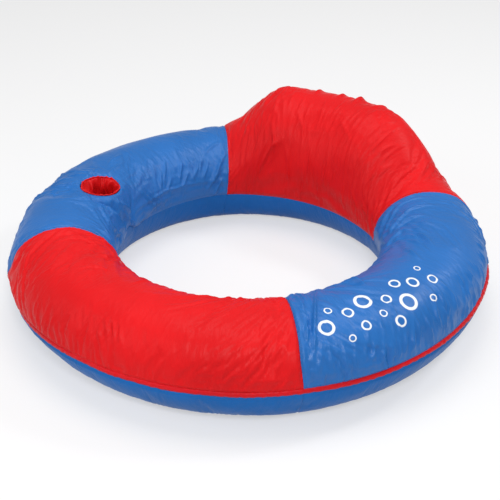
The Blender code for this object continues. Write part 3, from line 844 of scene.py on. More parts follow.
    def creases(self, depth):
        """Heights of sharp creases that run off the seams, gathered edges and corners."""
        heights = np.zeros(self.base.shape[:2])
        for group in CREASES:
            self.crease_group(heights, depth, *group)
        for fan in FANS:
            self.crease_fan(heights, depth, *fan)
        for angle, share, heading, length, width, height in CREST_CREASES:
            high = LINE_HEIGHT * depth * height
            self.crease(heights, angle, share, heading, (length, width), high, 0)
        view = PictureView(self.base)
        for index, side in enumerate(SIDES):
            stations = panel_stations(index)[SEAM_MARGIN:-SEAM_MARGIN]
            for line in PICTURE_CREASES[side]:
                self.picture_crease(heights, depth, view, stations, line)
        return heights * (1 - SEAM_CALM * bell(self.from_inner_seam(), SEAM_CALM_WIDTH))

    def groove(self):
        """The cloth's dip at the inner seam and its swell beside it."""
        away = self.from_inner_seam()
        swell = SEAM_SWELL * bell(away + SEAM_SWELL_AT, SEAM_SWELL_WIDTH)
        return swell - SEAM_DIP * bell(away, SEAM_DIP_WIDTH)

    def crease_group(
        self, heights, depth, seed, angles, shares, headings, lengths, widths, height, count
    ):
        """Creases strewn over a patch of the cover."""
        random = np.random.default_rng(seed)
        for k in range(count):
            spread = (k + random.uniform(0.1, 0.9)) / count
            angle = angles[0] + (angles[1] - angles[0]) * spread
            sizes = random.uniform(*lengths), random.uniform(*widths)
            high = depth * height * random.uniform(0.6, 1.2)
            heading, share = random.uniform(*headings), random.uniform(*shares)
            self.crease(heights, angle, share, heading, sizes, high, random.uniform(*BENDS))

    def crease_fan(
        self, heights, depth, seed, angle, share, headings, aways, lengths, widths, height, count
    ):
        """Creases that run out of a corner."""
        random = np.random.default_rng(seed)
        station = station_at(angle)
        column = int(round(share * (TOP_COLUMNS - 1)))
        radius, run = self.radius[station, column], self.run[station, TOP_COLUMNS - 1]
        for k in range(count):
            spread = (k + random.uniform(0.1, 0.9)) / count
            heading = headings[0] + (headings[1] - headings[0]) * spread
            away = random.uniform(*aways)
            turn = math.radians(heading)
            at = angle + math.degrees(away * math.cos(turn) / radius)
            up = share + away * math.sin(turn) / run
            sizes = random.uniform(*lengths), random.uniform(*widths)
            high = depth * height * random.uniform(0.6, 1.2)
            bend = random.uniform(*BENDS)
            self.crease(heights, at, min(max(up, 0), 1), heading, sizes, high, bend)

    def picture_crease(self, heights, depth, view, stations, line):
        """Adds a crease through the three places where the photograph shows it."""
        *pixels, width, height = line
        start, middle, end = (view.point(*pixels[k:k + 2], stations) for k in (0, 2, 4))
        flat = []
        for at in (start, end):
            turn = math.radians(turn_from(self.turned[at], self.turned[middle]))
            flat.append((turn * self.radius[middle], self.run[at] - self.run[middle]))
        first, last = np.array(flat)
        way = last - first
        long = math.hypot(*way)
        aside = np.array([-way[1], way[0]]) / long
        bend = np.clip(2 * (first + last) @ aside / long**2, -MOST_BEND, MOST_BEND)
        angle, share = self.turned[middle], middle[1] / (TOP_COLUMNS - 1)
        heading = math.degrees(math.atan2(way[1], way[0]))
        high = LINE_HEIGHT * depth * height
        self.crease(heights, angle, share, heading, (long * RUN_OUT, width), high, bend)

    def crease(self, heights, angle, share, heading, sizes, high, bend):
        """Adds one crease through a place, along a heading in degrees from the ring's direction."""
        length, width = sizes
        heading = math.radians(heading)
        station, column = station_at(angle), int(round(share * (TOP_COLUMNS - 1)))
        turn = np.radians(turn_from(self.turned, angle))
        radius = self.radius[station, column]
        near = np.nonzero(np.abs(turn).min(1) * radius < length)[0]
        x = turn[near] * radius
        y = self.run[near] - self.run[station, column]
        u = x * math.cos(heading) + y * math.sin(heading)
        v = y * math.cos(heading) - x * math.sin(heading) - bend * u * u
        taper = np.cos(np.clip(u / length, -0.5, 0.5) * math.pi) ** 1.5
        across = np.abs(v) / width
        ridge = np.exp(-(across**RIDGE_POWER)) - HOLLOW * bell(across, HOLLOW_WIDTH)
        heights[near] += high * taper * ridge

    def dress(self, excess, fullness, crease):
        """Gives the grid its wrinkles: the simulated ones on the fitted shape, then the creases."""
        moved = self.wrinkles(excess, fullness)
        relief = self.creases(crease) + self.groove()
        moved = moved + normals_of(self.base) * relief[..., None]
        far = np.linalg.norm(moved, axis=2, keepdims=True)
        moved *= np.minimum(1, MOST_MOVED / np.maximum(far, 1e-9))
        calm = 1 - bell(self.rim(), RIM_CALM)
        calm = calm * (1 - bell(self.from_hardware(), HARDWARE_CALM))
        mouth = np.clip(self.from_pocket() - POCKET_R - POCKET_PLAY, 0, None)
        calm = calm * (1 - bell(mouth, MOUTH_CALM))
        self.points = self.base + moved * calm[..., None]
        self.points[..., 2] = np.maximum(self.points[..., 2], FLOOR_GAP)
        self.out = normals_of(self.points)

    def wrinkles(self, excess, fullness):
        """The simulated wrinkles without the simulation's swell, calmer where the cloth is taut."""
        moved = self.blown(excess)
        swell = between(smooth(moved, *BLUR))
        moved = between(moved)
        seam = np.minimum(self.away_from_seams(), np.abs(self.from_inner_seam()))
        kept = 1 - bell(self.rim(), WRINKLE_REACH) - SEAM_SHARE * bell(seam, WRINKLE_REACH)
        moved = fullness * (moved - swell * np.clip(kept, 0, 1)[..., None])
        rise = np.array([rise_at(angle) for angle in self.angles])[:, None]
        taut = 1 - BACK_TAUT * rise
        for middle, spread, share in CALMED:
            taut -= share * near_angle(self.angles, middle, spread)[:, None]
        low = np.clip(self.from_inner_seam() / LOW_REACH, 0, 1)
        return moved * (taut * (1 - LOW_TAUT * low))[..., None]


BENDS = (-2.5, 2.5)
LINE_HEIGHT = 1.65
# How far a crease runs out past the ends that are read off, and the most that it bends
RUN_OUT = 1.25
MOST_BEND = 12
# A point of the cover is found at a place in the picture when it faces the camera by at least this
# much, and lies within so many pixels of the place, or so many more than the nearest one
FACING = 0.02
NEAR_PIXELS = 1.5
NEXT_PIXELS = 0.8

# Groups of creases: seed, angles, shares of the way from rim to inner seam, headings from the ring's
# direction, lengths, widths, height and count
CREASES = (
    (2, (-2, 38), (0.04, 0.2), (72, 112), (0.04, 0.1), (0.0035, 0.006), 1.0, 16),
    (3, (-42, -2), (0.04, 0.28), (72, 106), (0.045, 0.12), (0.0035, 0.0065), 1.5, 18),
    (20, (-42, 38), (0.03, 0.2), (75, 105), (0.03, 0.07), (0.0026, 0.004), 1.9, 36),
    (4, (-43, -38.5), (0.45, 0.75), (86, 95), (0.1, 0.16), (0.003, 0.005), 2.0, 4),
    (5, (-44, 40), (0.64, 0.84), (76, 104), (0.04, 0.09), (0.006, 0.011), 1.5, 24),
    (6, (228, 313), (0.62, 0.8), (74, 106), (0.04, 0.09), (0.0055, 0.01), 1.5, 30),
    (7, (268, 314), (0.6, 0.85), (70, 110), (0.03, 0.08), (0.0035, 0.006), 1.2, 18),
    (8, (228, 313), (0.04, 0.3), (74, 106), (0.04, 0.11), (0.004, 0.007), 1.0, 30),
    (9, (226.5, 234), (0.25, 0.75), (86, 96), (0.1, 0.2), (0.0035, 0.0055), 1.4, 5),
    (11, (180, 215), (0.55, 0.8), (95, 140), (0.05, 0.12), (0.004, 0.0065), 0.9, 9),
    (12, (133, 172), (0.4, 0.75), (60, 100), (0.05, 0.13), (0.0035, 0.006), 1.0, 12),
    (13, (132, 178), (0.78, 0.98), (40, 78), (0.05, 0.1), (0.004, 0.006), 1.0, 10),
    (14, (56, 124), (0.52, 0.76), (84, 98), (0.08, 0.19), (0.0032, 0.0058), 1.1, 40),
    (15, (62, 118), (0.4, 0.5), (80, 100), (0.04, 0.075), (0.006, 0.01), 1.0, 9),
    (16, (47, 127), (0.8, 0.97), (78, 102), (0.03, 0.09), (0.0035, 0.0065), 1.1, 28),
    (17, (45, 128), (0.03, 0.25), (74, 106), (0.04, 0.1), (0.0035, 0.006), 1.1, 42),
    (18, (132, 223), (0.03, 0.2), (70, 110), (0.03, 0.09), (0.0035, 0.006), 1.6, 44),
    (19, (182, 206), (0.3, 0.5), (60, 120), (0.03, 0.07), (0.0035, 0.006), 1.3, 14),
)
# Fans of creases out of the corners between the radial seams and the hole, and round the pocket: seed,
# the corner's angle and share, headings, distances, lengths, widths, height and count
FANS = (
    (31, 42.5, 0.9, (200, 268), (0.03, 0.11), (0.06, 0.14), (0.0035, 0.005), 0.9, 10),
    (32, 224, 0.92, (200, 262), (0.04, 0.11), (0.07, 0.15), (0.0035, 0.005), 0.9, 10),
    (33, 131, 0.9, (275, 335), (0.04, 0.1), (0.06, 0.14), (0.0035, 0.005), 0.8, 8),
    (34, 226, 0.92, (280, 345), (0.05, 0.13), (0.08, 0.17), (0.005, 0.008), 1.2, 12),
    (35, 314, 0.92, (200, 262), (0.04, 0.09), (0.05, 0.11), (0.0045, 0.007), 1.1, 10),
    (36, -44, 0.92, (278, 335), (0.03, 0.08), (0.05, 0.11), (0.0045, 0.007), 1.4, 8),
    (37, 44.5, 0.92, (278, 340), (0.04, 0.12), (0.07, 0.15), (0.0045, 0.007), 1.3, 12),
    (38, 128.5, 0.92, (200, 262), (0.04, 0.12), (0.07, 0.15), (0.0045, 0.007), 1.3, 12),
    (39, 193.5, 0.61, (20, 380), (0.06, 0.085), (0.03, 0.08), (0.004, 0.007), 1.2, 16),
)

# Single creases over the back's crest: angle, share, heading, length, width and height
CREST_CREASES = (
    (99.5, 0.42, 90, 0.07, 0.008, 2.0), (91.5, 0.42, 92, 0.07, 0.009, 1.7),
    (85.0, 0.42, 93, 0.075, 0.009, 2.9), (82.2, 0.42, 90, 0.06, 0.008, -1.4),
    (77.6, 0.41, 86, 0.08, 0.012, 1.9), (102.8, 0.42, 90, 0.06, 0.007, -0.9),
)
# Single creases read off the photograph, on each side's top panel: the pixels across and down
# of one end, the middle and the other end, then width and height
PICTURE_CREASES = {
    "right": (
        (378, 241, 381, 224, 388, 207, 0.0055, 2.2), (382, 241, 387, 223, 397, 207, 0.0045, 1.6),
        (385, 239, 395, 222, 408, 211, 0.005, 1.9), (383, 247, 394, 236, 404, 226, 0.0055, 2.0),
        (392, 232, 404, 220, 425, 213, 0.0055, 2.2), (388, 245, 402, 236, 424, 238, 0.005, 1.7),
        (408, 230, 422, 234, 433, 246, 0.0045, 1.5), (404, 240, 418, 242, 430, 252, 0.0045, 1.5),
        (403, 246, 412, 252, 421, 259, 0.0045, 1.4), (396, 206, 410, 199, 427, 197, 0.0045, 1.4),
        (400, 214, 416, 206, 434, 204, 0.0045, 1.3), (410, 222, 425, 221, 440, 226, 0.0045, 1.3),
        (400, 231, 414, 228, 430, 231, 0.0045, 1.4), (379, 236, 384, 219, 392, 204, 0.0035, 1.4),
        (376, 343, 375, 354, 372, 366, 0.005, 1.5), (384, 340, 385, 352, 381, 363, 0.005, 1.6),
        (392, 343, 394, 354, 392, 365, 0.0055, 1.8), (400, 340, 401, 351, 399, 362, 0.005, 1.6),
        (406, 332, 407, 343, 405, 356, 0.005, 1.7), (413, 330, 414, 341, 412, 352, 0.005, 1.6),
        (419, 322, 421, 334, 419, 347, 0.005, 1.8), (427, 315, 430, 326, 433, 337, 0.0055, 1.8),
        (436, 309, 439, 320, 443, 331, 0.0055, 1.9), (433, 296, 436, 304, 438, 312, 0.0045, 1.3),
        (443, 306, 447, 316, 449, 326, 0.0045, 1.5), (449, 300, 451, 310, 450, 321, 0.0045, 1.4),
        (453, 293, 456, 302, 458, 311, 0.0045, 1.4), (462, 280, 465, 290, 466, 300, 0.0045, 1.2),
        (315, 290, 316, 315, 317, 345, 0.0042, 3.0), (307, 313, 308, 328, 309, 344, 0.0042, 2.0),
        (345, 285, 356, 280, 368, 291, 0.005, 3.0),
    ),
    "back": (
        (284, 145, 287, 165, 288, 187, 0.0048, 1.4), (309, 145, 308, 163, 305, 183, 0.0048, 1.5),
        (327, 155, 325, 170, 322, 187, 0.0048, 1.4), (303, 178, 300, 190, 297, 199, 0.0045, 1.3),
        (317, 182, 317, 192, 315, 203, 0.0045, 1.3), (296, 110, 300, 122, 302, 136, 0.0045, 1.1),
        (338, 118, 345, 128, 349, 140, 0.0045, 1.1), (360, 200, 363, 207, 366, 216, 0.0042, 1.2),
        (350, 190, 353, 200, 357, 211, 0.0042, 1.2), (270, 120, 272, 135, 273, 152, 0.0045, 1.1),
    ),
    "left": (
        (162, 168, 162, 180, 163, 190, 0.0045, 1.8), (166, 161, 166, 171, 166, 182, 0.0045, 1.8),
        (182, 160, 182, 171, 181, 182, 0.0045, 1.8), (199, 158, 198, 168, 194, 180, 0.0045, 1.6),
        (203, 158, 202, 165, 201, 173, 0.0042, 1.3), (186, 156, 190, 163, 193, 170, 0.0042, 1.3),
        (226, 153, 219, 168, 211, 183, 0.005, 2.1), (221, 141, 213, 146, 205, 153, 0.0045, 1.6),
        (224, 166, 216, 179, 206, 193, 0.0045, 1.6), (223, 180, 219, 188, 214, 196, 0.0042, 1.4),
        (145, 192, 152, 202, 158, 213, 0.005, 2.1), (150, 190, 157, 201, 163, 211, 0.0045, 1.9),
        (157, 193, 162, 201, 167, 209, 0.0042, 1.3), (173, 176, 171, 184, 168, 193, 0.0042, 1.3),
        (190, 170, 187, 180, 183, 190, 0.0042, 1.3), (209, 160, 207, 170, 203, 181, 0.0042, 1.2),
        (118, 202, 126, 205, 134, 214, 0.0045, 1.9), (113, 209, 120, 219, 124, 231, 0.0045, 1.8),
        (122, 208, 128, 217, 131, 228, 0.0045, 1.7), (100, 204, 106, 214, 111, 226, 0.0045, 1.6),
        (97, 227, 105, 233, 112, 241, 0.005, 1.9), (115, 225, 120, 232, 124, 241, 0.0045, 1.5),
        (92, 206, 97, 215, 103, 224, 0.0042, 1.3), (130, 213, 134, 222, 136, 232, 0.0042, 1.4),
        (86, 178, 91, 172, 97, 167, 0.0045, 1.5), (110, 172, 117, 167, 125, 161, 0.0045, 1.6),
        (108, 163, 114, 158, 121, 154, 0.0042, 1.4), (122, 180, 129, 174, 137, 168, 0.0042, 1.2),
        (62, 186, 69, 182, 77, 180, 0.0042, 1.2), (50, 196, 57, 190, 65, 187, 0.0042, 1.1),
    ),
    "front": (
        (62, 236, 80, 237, 99, 243, 0.0055, 1.4), (78, 268, 95, 265, 114, 270, 0.005, 1.2),
        (104, 243, 112, 251, 121, 262, 0.005, 1.5), (90, 250, 103, 254, 117, 263, 0.0045, 1.2),
        (105, 316, 106, 328, 105, 341, 0.0045, 1.3), (112, 317, 113, 330, 113, 344, 0.0045, 1.4),
        (119, 318, 120, 330, 120, 343, 0.0045, 1.3), (99, 322, 99, 333, 98, 345, 0.0045, 1.1),
    ),
}

shared = {}


def cover():
    """The dressed cover, which several pieces lie on."""
    if "cover" not in shared:
        cloth = bpy.context.scene.lounger_cloth
        made = Cover()
        made.dress(cloth.excess, cloth.fullness, cloth.crease)
        shared["cover"] = made
    return shared["cover"]


def lay_flat(mesh, places):
    """Keeps each point's place on the flat cloth as the mesh's UVs."""
    layer = mesh.uv_layers.new(name="sewn")
    corners = np.zeros(len(mesh.loops), int)
    mesh.loops.foreach_get("vertex_index", corners)
    layer.data.foreach_set("uv", places.reshape(-1, 2)[corners].ravel())


def all_corners(marks):
    """Marks the faces of a grid whose four corners are marked."""
    return marks[:-1, :-1] & marks[1:, :-1] & marks[1:, 1:] & marks[:-1, 1:]


def sheet_mesh(name, rows, skip, uvs):
    """A sheet of quads through rows of points, with each point's place on the flat cloth."""
    used, quads = np.unique(grid_quads(*rows.shape[:2])[~all_corners(skip)], return_inverse=True)
    mesh = bpy.data.meshes.new(name)
    mesh.from_pydata(rows.reshape(-1, 3)[used].tolist(), [], quads.reshape(-1, 4).tolist())
    lay_flat(mesh, uvs.reshape(-1, 2)[used])
    return mesh


def turned_in(rows, out, uvs, deep, shift, axis):
    """The sheet with one more row or column, turned in, at its start and at its end."""
    before = np.take(rows, [0], axis) - deep * np.take(out, [0], axis)
    after = np.take(rows, [-1], axis) - deep * np.take(out, [-1], axis)
    flat = [np.take(uvs, [0], axis) - shift, uvs, np.take(uvs, [-1], axis) + shift]
    return np.concatenate([before, rows, after], axis), np.concatenate(flat, axis)


def rounded(*fields):
    """The fields with a close row beside each edge, so that the cloth turns in sharply there."""
    found = []
    for field in fields:
        for _ in range(2):
            first, second = field[:2]
            last, before = field[-1], field[-2]
            if field.dtype == bool:
                extra = first & second, last & before
            else:
                extra = first + CLOSE_ROW * (second - first), last + CLOSE_ROW * (before - last)
            parts = [first[None], extra[0][None], field[1:-1], extra[1][None], last[None]]
            field = np.swapaxes(np.concatenate(parts), 0, 1)
        found.append(field)
    return found


def snap(rows, inside, origin, axis, radius):
    """Moves the points inside a round hole that a kept face still needs to its edge."""
    tree = surface(rows)
    keep = ~all_corners(inside)
    near = np.zeros_like(inside)
    for a in (slice(None, -1), slice(1, None)):
        for b in (slice(None, -1), slice(1, None)):
            near[a, b] |= keep
    for i, j in np.argwhere(inside & near):
        away = Vector(rows[i, j]) - origin
        flat = away - axis * away.dot(axis)
        target = origin + flat.normalized() * radius
        hit = tree.ray_cast(target + axis, -axis)[0]
        rows[i, j] = hit if hit is not None else target


def cut_out(name, rows):
    """Marks the points of a panel's rows inside its holes, after fitting the rows to their edges."""
    skip = np.zeros(rows.shape[:2], bool)
    for origin, axis, radius, side in holes():
        if side != name:
            continue
        away = rows - np.array(origin)
        depth = away @ np.array(axis)
        inside = np.linalg.norm(away - depth[..., None] * np.array(axis), axis=2) < radius
        inside &= np.abs(depth) < HOLE_DEPTH
        snap(rows, inside, origin, axis, radius)
        skip |= inside
    return skip


def zip_slot(stations):
    """Marks the points of the back panel's rows inside the zip's slot."""
    whole = cover()
    turn = np.abs(whole.angles[stations] - BACK_ANGLE)[:, None]
    away = np.abs(whole.base[stations][:, :TOP_COLUMNS, 2] - ZIP_Z)
    outer = np.arange(TOP_COLUMNS) < CREST_COLUMN
    return (turn < ZIP_HALF_ANGLE) & (away < ZIP_SLOT / 2 + SLOT_MARGIN) & outer


def flat_size(stations, columns):
    """A panel's flat size and area, from the plain cover."""
    whole = cover()
    run = whole.run[stations][:, columns]
    long = float((run[:, -1] - run[:, 0]).mean())
    plain = whole.base[stations][:, columns]
    faces = np.cross(np.diff(plain, axis=0)[:, :-1], np.diff(plain, axis=1)[:-1])
    area = float(np.linalg.norm(faces, axis=2).sum())
    span = math.radians(len(stations) * 360 / STATIONS)
    return (max(span * RIM_R, area / long), long * SEAM_ALLOWANCE), area


def panel(name, index, columns, finish, slot):
    """One cloth panel of the cover, cut, turned in at its seams and given its thickness."""
    cloth = bpy.context.scene.lounger_cloth
    whole = cover()
    stations = panel_stations(index)
    rows = whole.points[stations][:, columns].copy()
    out = whole.out[stations][:, columns]
    sides = np.gradient(rows, axis=0)
    sides /= np.linalg.norm(sides, axis=2, keepdims=True)
    rows[0] += sides[0] * SEAM_HALF_GAP
    rows[-1] -= sides[-1] * SEAM_HALF_GAP
    arc = np.radians(np.arange(len(stations)) * 360 / STATIONS) * CREST_R
    uvs = np.stack(np.broadcast_arrays(arc[:, None], whole.run[stations][:, columns]), 2)
    skip = cut_out(name, rows)
    if name == "top_panel_back":
        skip |= zip_slot(stations)
    rows, out, uvs, skip = rounded(rows, out, uvs, skip)
    rows, uvs = turned_in(rows, out, uvs, cloth.turn_in, (FLAT_TURN, 0), 0)
    wide = np.concatenate([out[:1], out, out[-1:]])
    rows, uvs = turned_in(rows, wide, uvs, cloth.turn_in, (0, FLAT_TURN), 1)
    mesh = sheet_mesh(name, rows, np.pad(skip, 1), uvs)
    made = piece(name + "_cloth", mesh, finish, (name,))
    thicken(made, cloth.thickness)
    flat, area = flat_size(stations, columns)


# The panel that each valve sits in
VALVE_PANELS = {"ring_valve": "bottom_panel_back", "backrest_valve": "top_panel_back"}
# How far along its axis a hole reaches
HOLE_DEPTH = 0.06


def holes():
    """Round holes in the cover: a point on the axis, the axis, the radius and the panel."""
    mouth = pocket_centre() + Vector((0, 0, CREST_Z))
    found = [(mouth, Vector((0, 0, 1)), POCKET_R + POCKET_PLAY, "top_panel_left")]
    for node, side in VALVE_PANELS.items():
        found.append((valve_middle(node), valve_axis(node), VALVE_HOLE_R, side))
    return found


def valve_axis(node):
    """The direction out of a valve: that of its flat faces with the most outward reach."""
    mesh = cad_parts[node].data
    total = Vector()
    for face in mesh.polygons:
        if face.normal.y > 0.8:
            total += face.normal * face.area
    return total.normalized()


class LOUNGER_OT_cover(Operator):
    """Sews the eight cloth panels of the cover"""

    bl_idname = "lounger.cover"
    bl_label = "Cover"

    def execute(self, context):
        colours = context.scene.lounger_colours
        red = cloth_finish("red_nylon", colours.red, 0.1)
        blue = cloth_finish("blue_nylon", colours.blue, 0.36)
        under = cloth_finish("under_nylon", colours.blue, 0.06)
        printed = cloth_finish("printed_nylon", colours.blue, 0.36, bubbles(), colours.bubbles)
        tops = {"front": (red, "red_cloth"), "back": (red, "red_cloth")}
        tops.update({"left": (blue, "blue_cloth"), "right": (printed, "blue_cloth")})
        for index, side in enumerate(SIDES):
            panel("top_panel_" + side, index, slice(0, TOP_COLUMNS), *tops[side])
            panel("bottom_panel_" + side, index, slice(TOP_COLUMNS - 1, None), under, "blue_cloth")
        return {"FINISHED"}


# Printed bubbles on the right panel: angle, share of the way from rim to inner seam, radius
BUBBLES = (
    (-38, 0.31, 0.017), (-36, 0.42, 0.0085), (-33, 0.23, 0.0075), (-31.5, 0.37, 0.0125),
    (-29, 0.27, 0.011), (-26, 0.42, 0.019), (-23.5, 0.3, 0.0085), (-20, 0.37, 0.0115),
    (-20.5, 0.23, 0.0125), (-15.5, 0.3, 0.02), (-14, 0.44, 0.0125), (-9.5, 0.38, 0.014),
    (-8.5, 0.25, 0.0085), (-4, 0.33, 0.0115), (-3.5, 0.44, 0.0075),
)


def bubbles():
    """Each printed ring's centre, outer radius and inner radius."""
    whole = cover()
    found = []
    for angle, share, radius in BUBBLES:
        at = Vector(whole.points[station_at(angle), int(share * (TOP_COLUMNS - 1))])
        found.append((at, radius, radius * 0.66))
    return found


def full_turn(count):
    """Even steps of a full turn, in radians."""
    return np.arange(count) * 2 * math.pi / count


def ring_directions(turn):
    """The outward and the upward direction at each turn round a ring."""
    out = np.stack([np.cos(turn), np.sin(turn), np.zeros_like(turn)], 1)
    return out, np.tile([0.0, 0.0, 1.0], (len(turn), 1))


def tube(name, centres, directions, radii):
    """A ring of tube through centres, whose section leans on two directions at each."""
    turns = full_turn(radii.shape[1])
    out, up = (direction[:, None] for direction in directions)
    section = out * np.cos(turns)[:, None] + up * np.sin(turns)[:, None]
    mesh = grid_mesh(name, centres[:, None] + section * radii[..., None], tubular=True)
    steps = np.linalg.norm(np.roll(centres, -1, 0) - centres, axis=1)
    along = np.cumsum(steps) - steps
    around = turns * radii.mean()
    lay_flat(mesh, np.stack(np.broadcast_arrays(along[:, None], around[None, :]), 2))
    return mesh


# The sleeve and the wire in it: sides, the stray of the sleeve's middle and the share of it sideways,
# the heights of its gathers and waves, and the wire's sides and step in stations
SLEEVE_SIDES = 20
SLEEVE_STRAY = 0.0007
SLEEVE_SIDEWAYS = 0.6
SLEEVE_GATHERS = 0.0004
SLEEVE_WAVES = 0.0003
WIRE_SIDES = 12
WIRE_STRIDE = 3


class LOUNGER_OT_sleeve(Operator):
    """Makes the cloth sleeve in the rim seam and finishes the hoop in it"""

    bl_idname = "lounger.sleeve"
    bl_label = "Spring sleeve"

    def execute(self, context):
        turn = full_turn(STATIONS)
        out, up = ring_directions(turn)
        random = np.random.default_rng(31)
        pull = waves(random, turn, (9, 40), 8) * SLEEVE_STRAY
        aside, above = rim_shift(np.degrees(turn))
        middle = out * (SLEEVE_AT_R + aside)[:, None] + up * (RIM_Z - SLEEVE_DROP + above)[:, None]
        centres = middle + out * pull[:, None] * SLEEVE_SIDEWAYS
        centres = centres + up * (waves(random, turn, (7, 36), 8) * SLEEVE_STRAY)[:, None]
        around = full_turn(SLEEVE_SIDES)
        gathers = waves(random, turn, (90, 260), 40) * SLEEVE_GATHERS
        radii = SLEEVE_R + gathers[:, None] * (0.6 + 0.4 * np.cos(around))
        aslant = waves(random, turn, (60, 190), 30) * SLEEVE_WAVES
        radii += aslant[:, None] * np.sin(around)
        mesh = tube("spring_sleeve_cloth", centres, (out, up), radii)
        finish = cloth_finish("sleeve_nylon", context.scene.lounger_colours.sleeve)
        made = piece("spring_sleeve_cloth", mesh, finish, ("spring_sleeve",))
        thicken(made, context.scene.lounger_cloth.thickness)
        out, up = out[::WIRE_STRIDE], up[::WIRE_STRIDE]
        wire = middle[::WIRE_STRIDE] + out * WIRE_OFFSET
        radii = np.full((len(wire), WIRE_SIDES), WIRE_R)
        mesh = tube("spring_hoop_wire", wire, (out, up), radii)
        steel = steel_finish("spring_steel_wire")
        piece("spring_hoop_wire", mesh, steel, ("spring_hoop",))
        return {"FINISHED"}


def waves(random, turn, between, count):
    """A sum of random waves round the ring, of about unit height."""
    total = np.zeros_like(turn)
    for number in random.integers(*between, count):
        total += np.sin(number * turn + random.uniform(0, 2 * math.pi))
    return total / math.sqrt(count)


# The pocket: points round it, rows down its wall and across its base, the sides of its hem, the
# cloth's thickness, its play inside the hole, the base's lift and sag, and the hem's lift, stray
# and ruffles
POCKET_STATIONS = 240
WALL_ROWS = 44
BASE_ROWS = 22
HEM_SIDES = 12
POCKET_CLOTH = 0.0007
WALL_PLAY = 0.0006
BASE_PLAY = 0.0012
BASE_LIFT = 0.0015
BASE_SAG = 0.00096
HEM_LIFT = 0.0009
HEM_STRAY = 0.0009
HEM_RUFFLE = 0.0005
HEM_FRAY = 0.0004


def mouth_heights(turn):
    """The plain cover's heights round the pocket's mouth."""
    centre = pocket_centre()
    tree = surface(cover().base[panel_stations(SIDES.index("left"))][:, :TOP_COLUMNS])
    heights = []
    for t in turn:
        x, y = centre.x + POCKET_R * math.cos(t), centre.y + POCKET_R * math.sin(t)
        heights.append(tree.ray_cast(Vector((x, y, 1)), Vector((0, 0, -1)))[0].z)
    return np.array(heights)


def round_rows(radius, turn, height):
    """Rows of points round the pocket's axis, each ending where it starts."""
    centre = pocket_centre()
    x, y = centre.x + radius * np.cos(turn), centre.y + radius * np.sin(turn)
    rows = np.stack([x, y, height], 2)
    return np.concatenate([rows, rows[:, :1]], 1)


class LOUNGER_OT_pocket(Operator):
    """Makes the drink pocket: its pleated wall, its base and its gathered hem"""

    bl_idname = "lounger.pocket"
    bl_label = "Drink pocket"

    def execute(self, context):
        finish = cloth_finish("pocket_nylon", shade(context.scene.lounger_colours.red, 0.92))
        sizes = context.scene.lounger_pocket
        turn = full_turn(POCKET_STATIONS)
        mouth = mouth_heights(turn)
        random = np.random.default_rng(52)
        self.make_wall(finish, sizes, turn, mouth, random)
        self.make_base(finish, turn, random)
        self.make_hem(finish, sizes, turn, mouth, random)
        return {"FINISHED"}

    def make_wall(self, finish, sizes, turn, mouth, random):
        """The wall, in three sets of pleats that lean and run into each other."""
        share = np.linspace(0, 1, WALL_ROWS)[:, None]
        lean = turn - 1.1 * share
        pleats = np.sin(sizes.pleats * lean + 2.0 * waves(random, turn, (2, 6), 4))
        wide = np.sin(5 * turn - 8.0 * share + 1.5 * waves(random, turn, (2, 5), 4))
        bent = np.sin(7 * turn - 3.0 * share + 1.8 * waves(random, turn, (2, 7), 4))
        folds = 0.3 * (0.5 - 0.5 * pleats) ** 1.6 + 0.6 * (0.5 + 0.5 * wide) ** 1.5
        folds = folds + 0.5 * (1 - np.abs(bent)) ** 1.5
        deep = sizes.pleat_depth * np.sin(np.pi * share**0.55) ** 0.8
        low = POCKET_FLOOR_Z + WALL_PLAY
        height = mouth * (1 - share) + low * share
        wall = round_rows(POCKET_R - WALL_PLAY - deep * folds, turn, height)[:, ::-1]
        along = np.append(turn, 2 * math.pi)[::-1] * POCKET_R
        uvs = np.stack(np.broadcast_arrays(along, share * 0.1), 2)
        made = self.sewn("cup_pocket_wall", wall, uvs, finish, "cup_pocket")

    def make_base(self, finish, turn, random):
        """The disc at the wall's foot, a little wavy."""
        across = np.linspace(0.0005, POCKET_R - BASE_PLAY, BASE_ROWS)[:, None]
        sag = BASE_SAG * waves(random, turn, (3, 9), 5) * (across / POCKET_R)
        sag = sag * np.sin(np.pi * across / POCKET_R)
        disc = round_rows(across, turn, POCKET_FLOOR_Z + WALL_PLAY + BASE_LIFT + sag)
        made = self.sewn("cup_pocket_floor", disc, disc[..., :2], finish, "cup_pocket_base")

    def make_hem(self, finish, sizes, turn, mouth, random):
        """The gathered hem round the mouth."""
        out, up = ring_directions(turn)
        ruffle = waves(random, turn, (14, 34), 10)
        edge = POCKET_R - BASE_PLAY + HEM_STRAY * waves(random, turn, (3, 8), 5)
        centres = np.array(pocket_centre()) + out * edge[:, None]
        centres[:, 2] = mouth + HEM_LIFT + HEM_RUFFLE * ruffle
        radii = sizes.hem + HEM_RUFFLE * ruffle + HEM_FRAY * waves(random, turn, (40, 80), 12)
        radii = np.repeat(radii[:, None], HEM_SIDES, 1)
        mesh = tube("cup_pocket_hem", centres, (out, up), radii)
        piece("cup_pocket_hem", mesh, finish, ("cup_pocket_binding",))

    def sewn(self, name, rows, uvs, finish, node):
        """A sheet with its ends joined, its middle closed where it is a disc, and its thickness."""
        mesh = sheet_mesh(name, rows, np.zeros(rows.shape[:2], bool), uvs)
        made = piece(name, mesh, finish, (node,))
        bm = bmesh.new()
        bm.from_mesh(mesh)
        bmesh.ops.remove_doubles(bm, verts=bm.verts, dist=1e-6)
        inner = [edge for edge in bm.edges if edge.is_boundary and edge.calc_length() < 0.0001]
        bmesh.ops.holes_fill(bm, edges=inner, sides=0)
        bmesh.ops.recalc_face_normals(bm, faces=bm.faces)
        bm.to_mesh(mesh)
        bm.free()
        thicken(made, POCKET_CLOTH, 0)
        return made


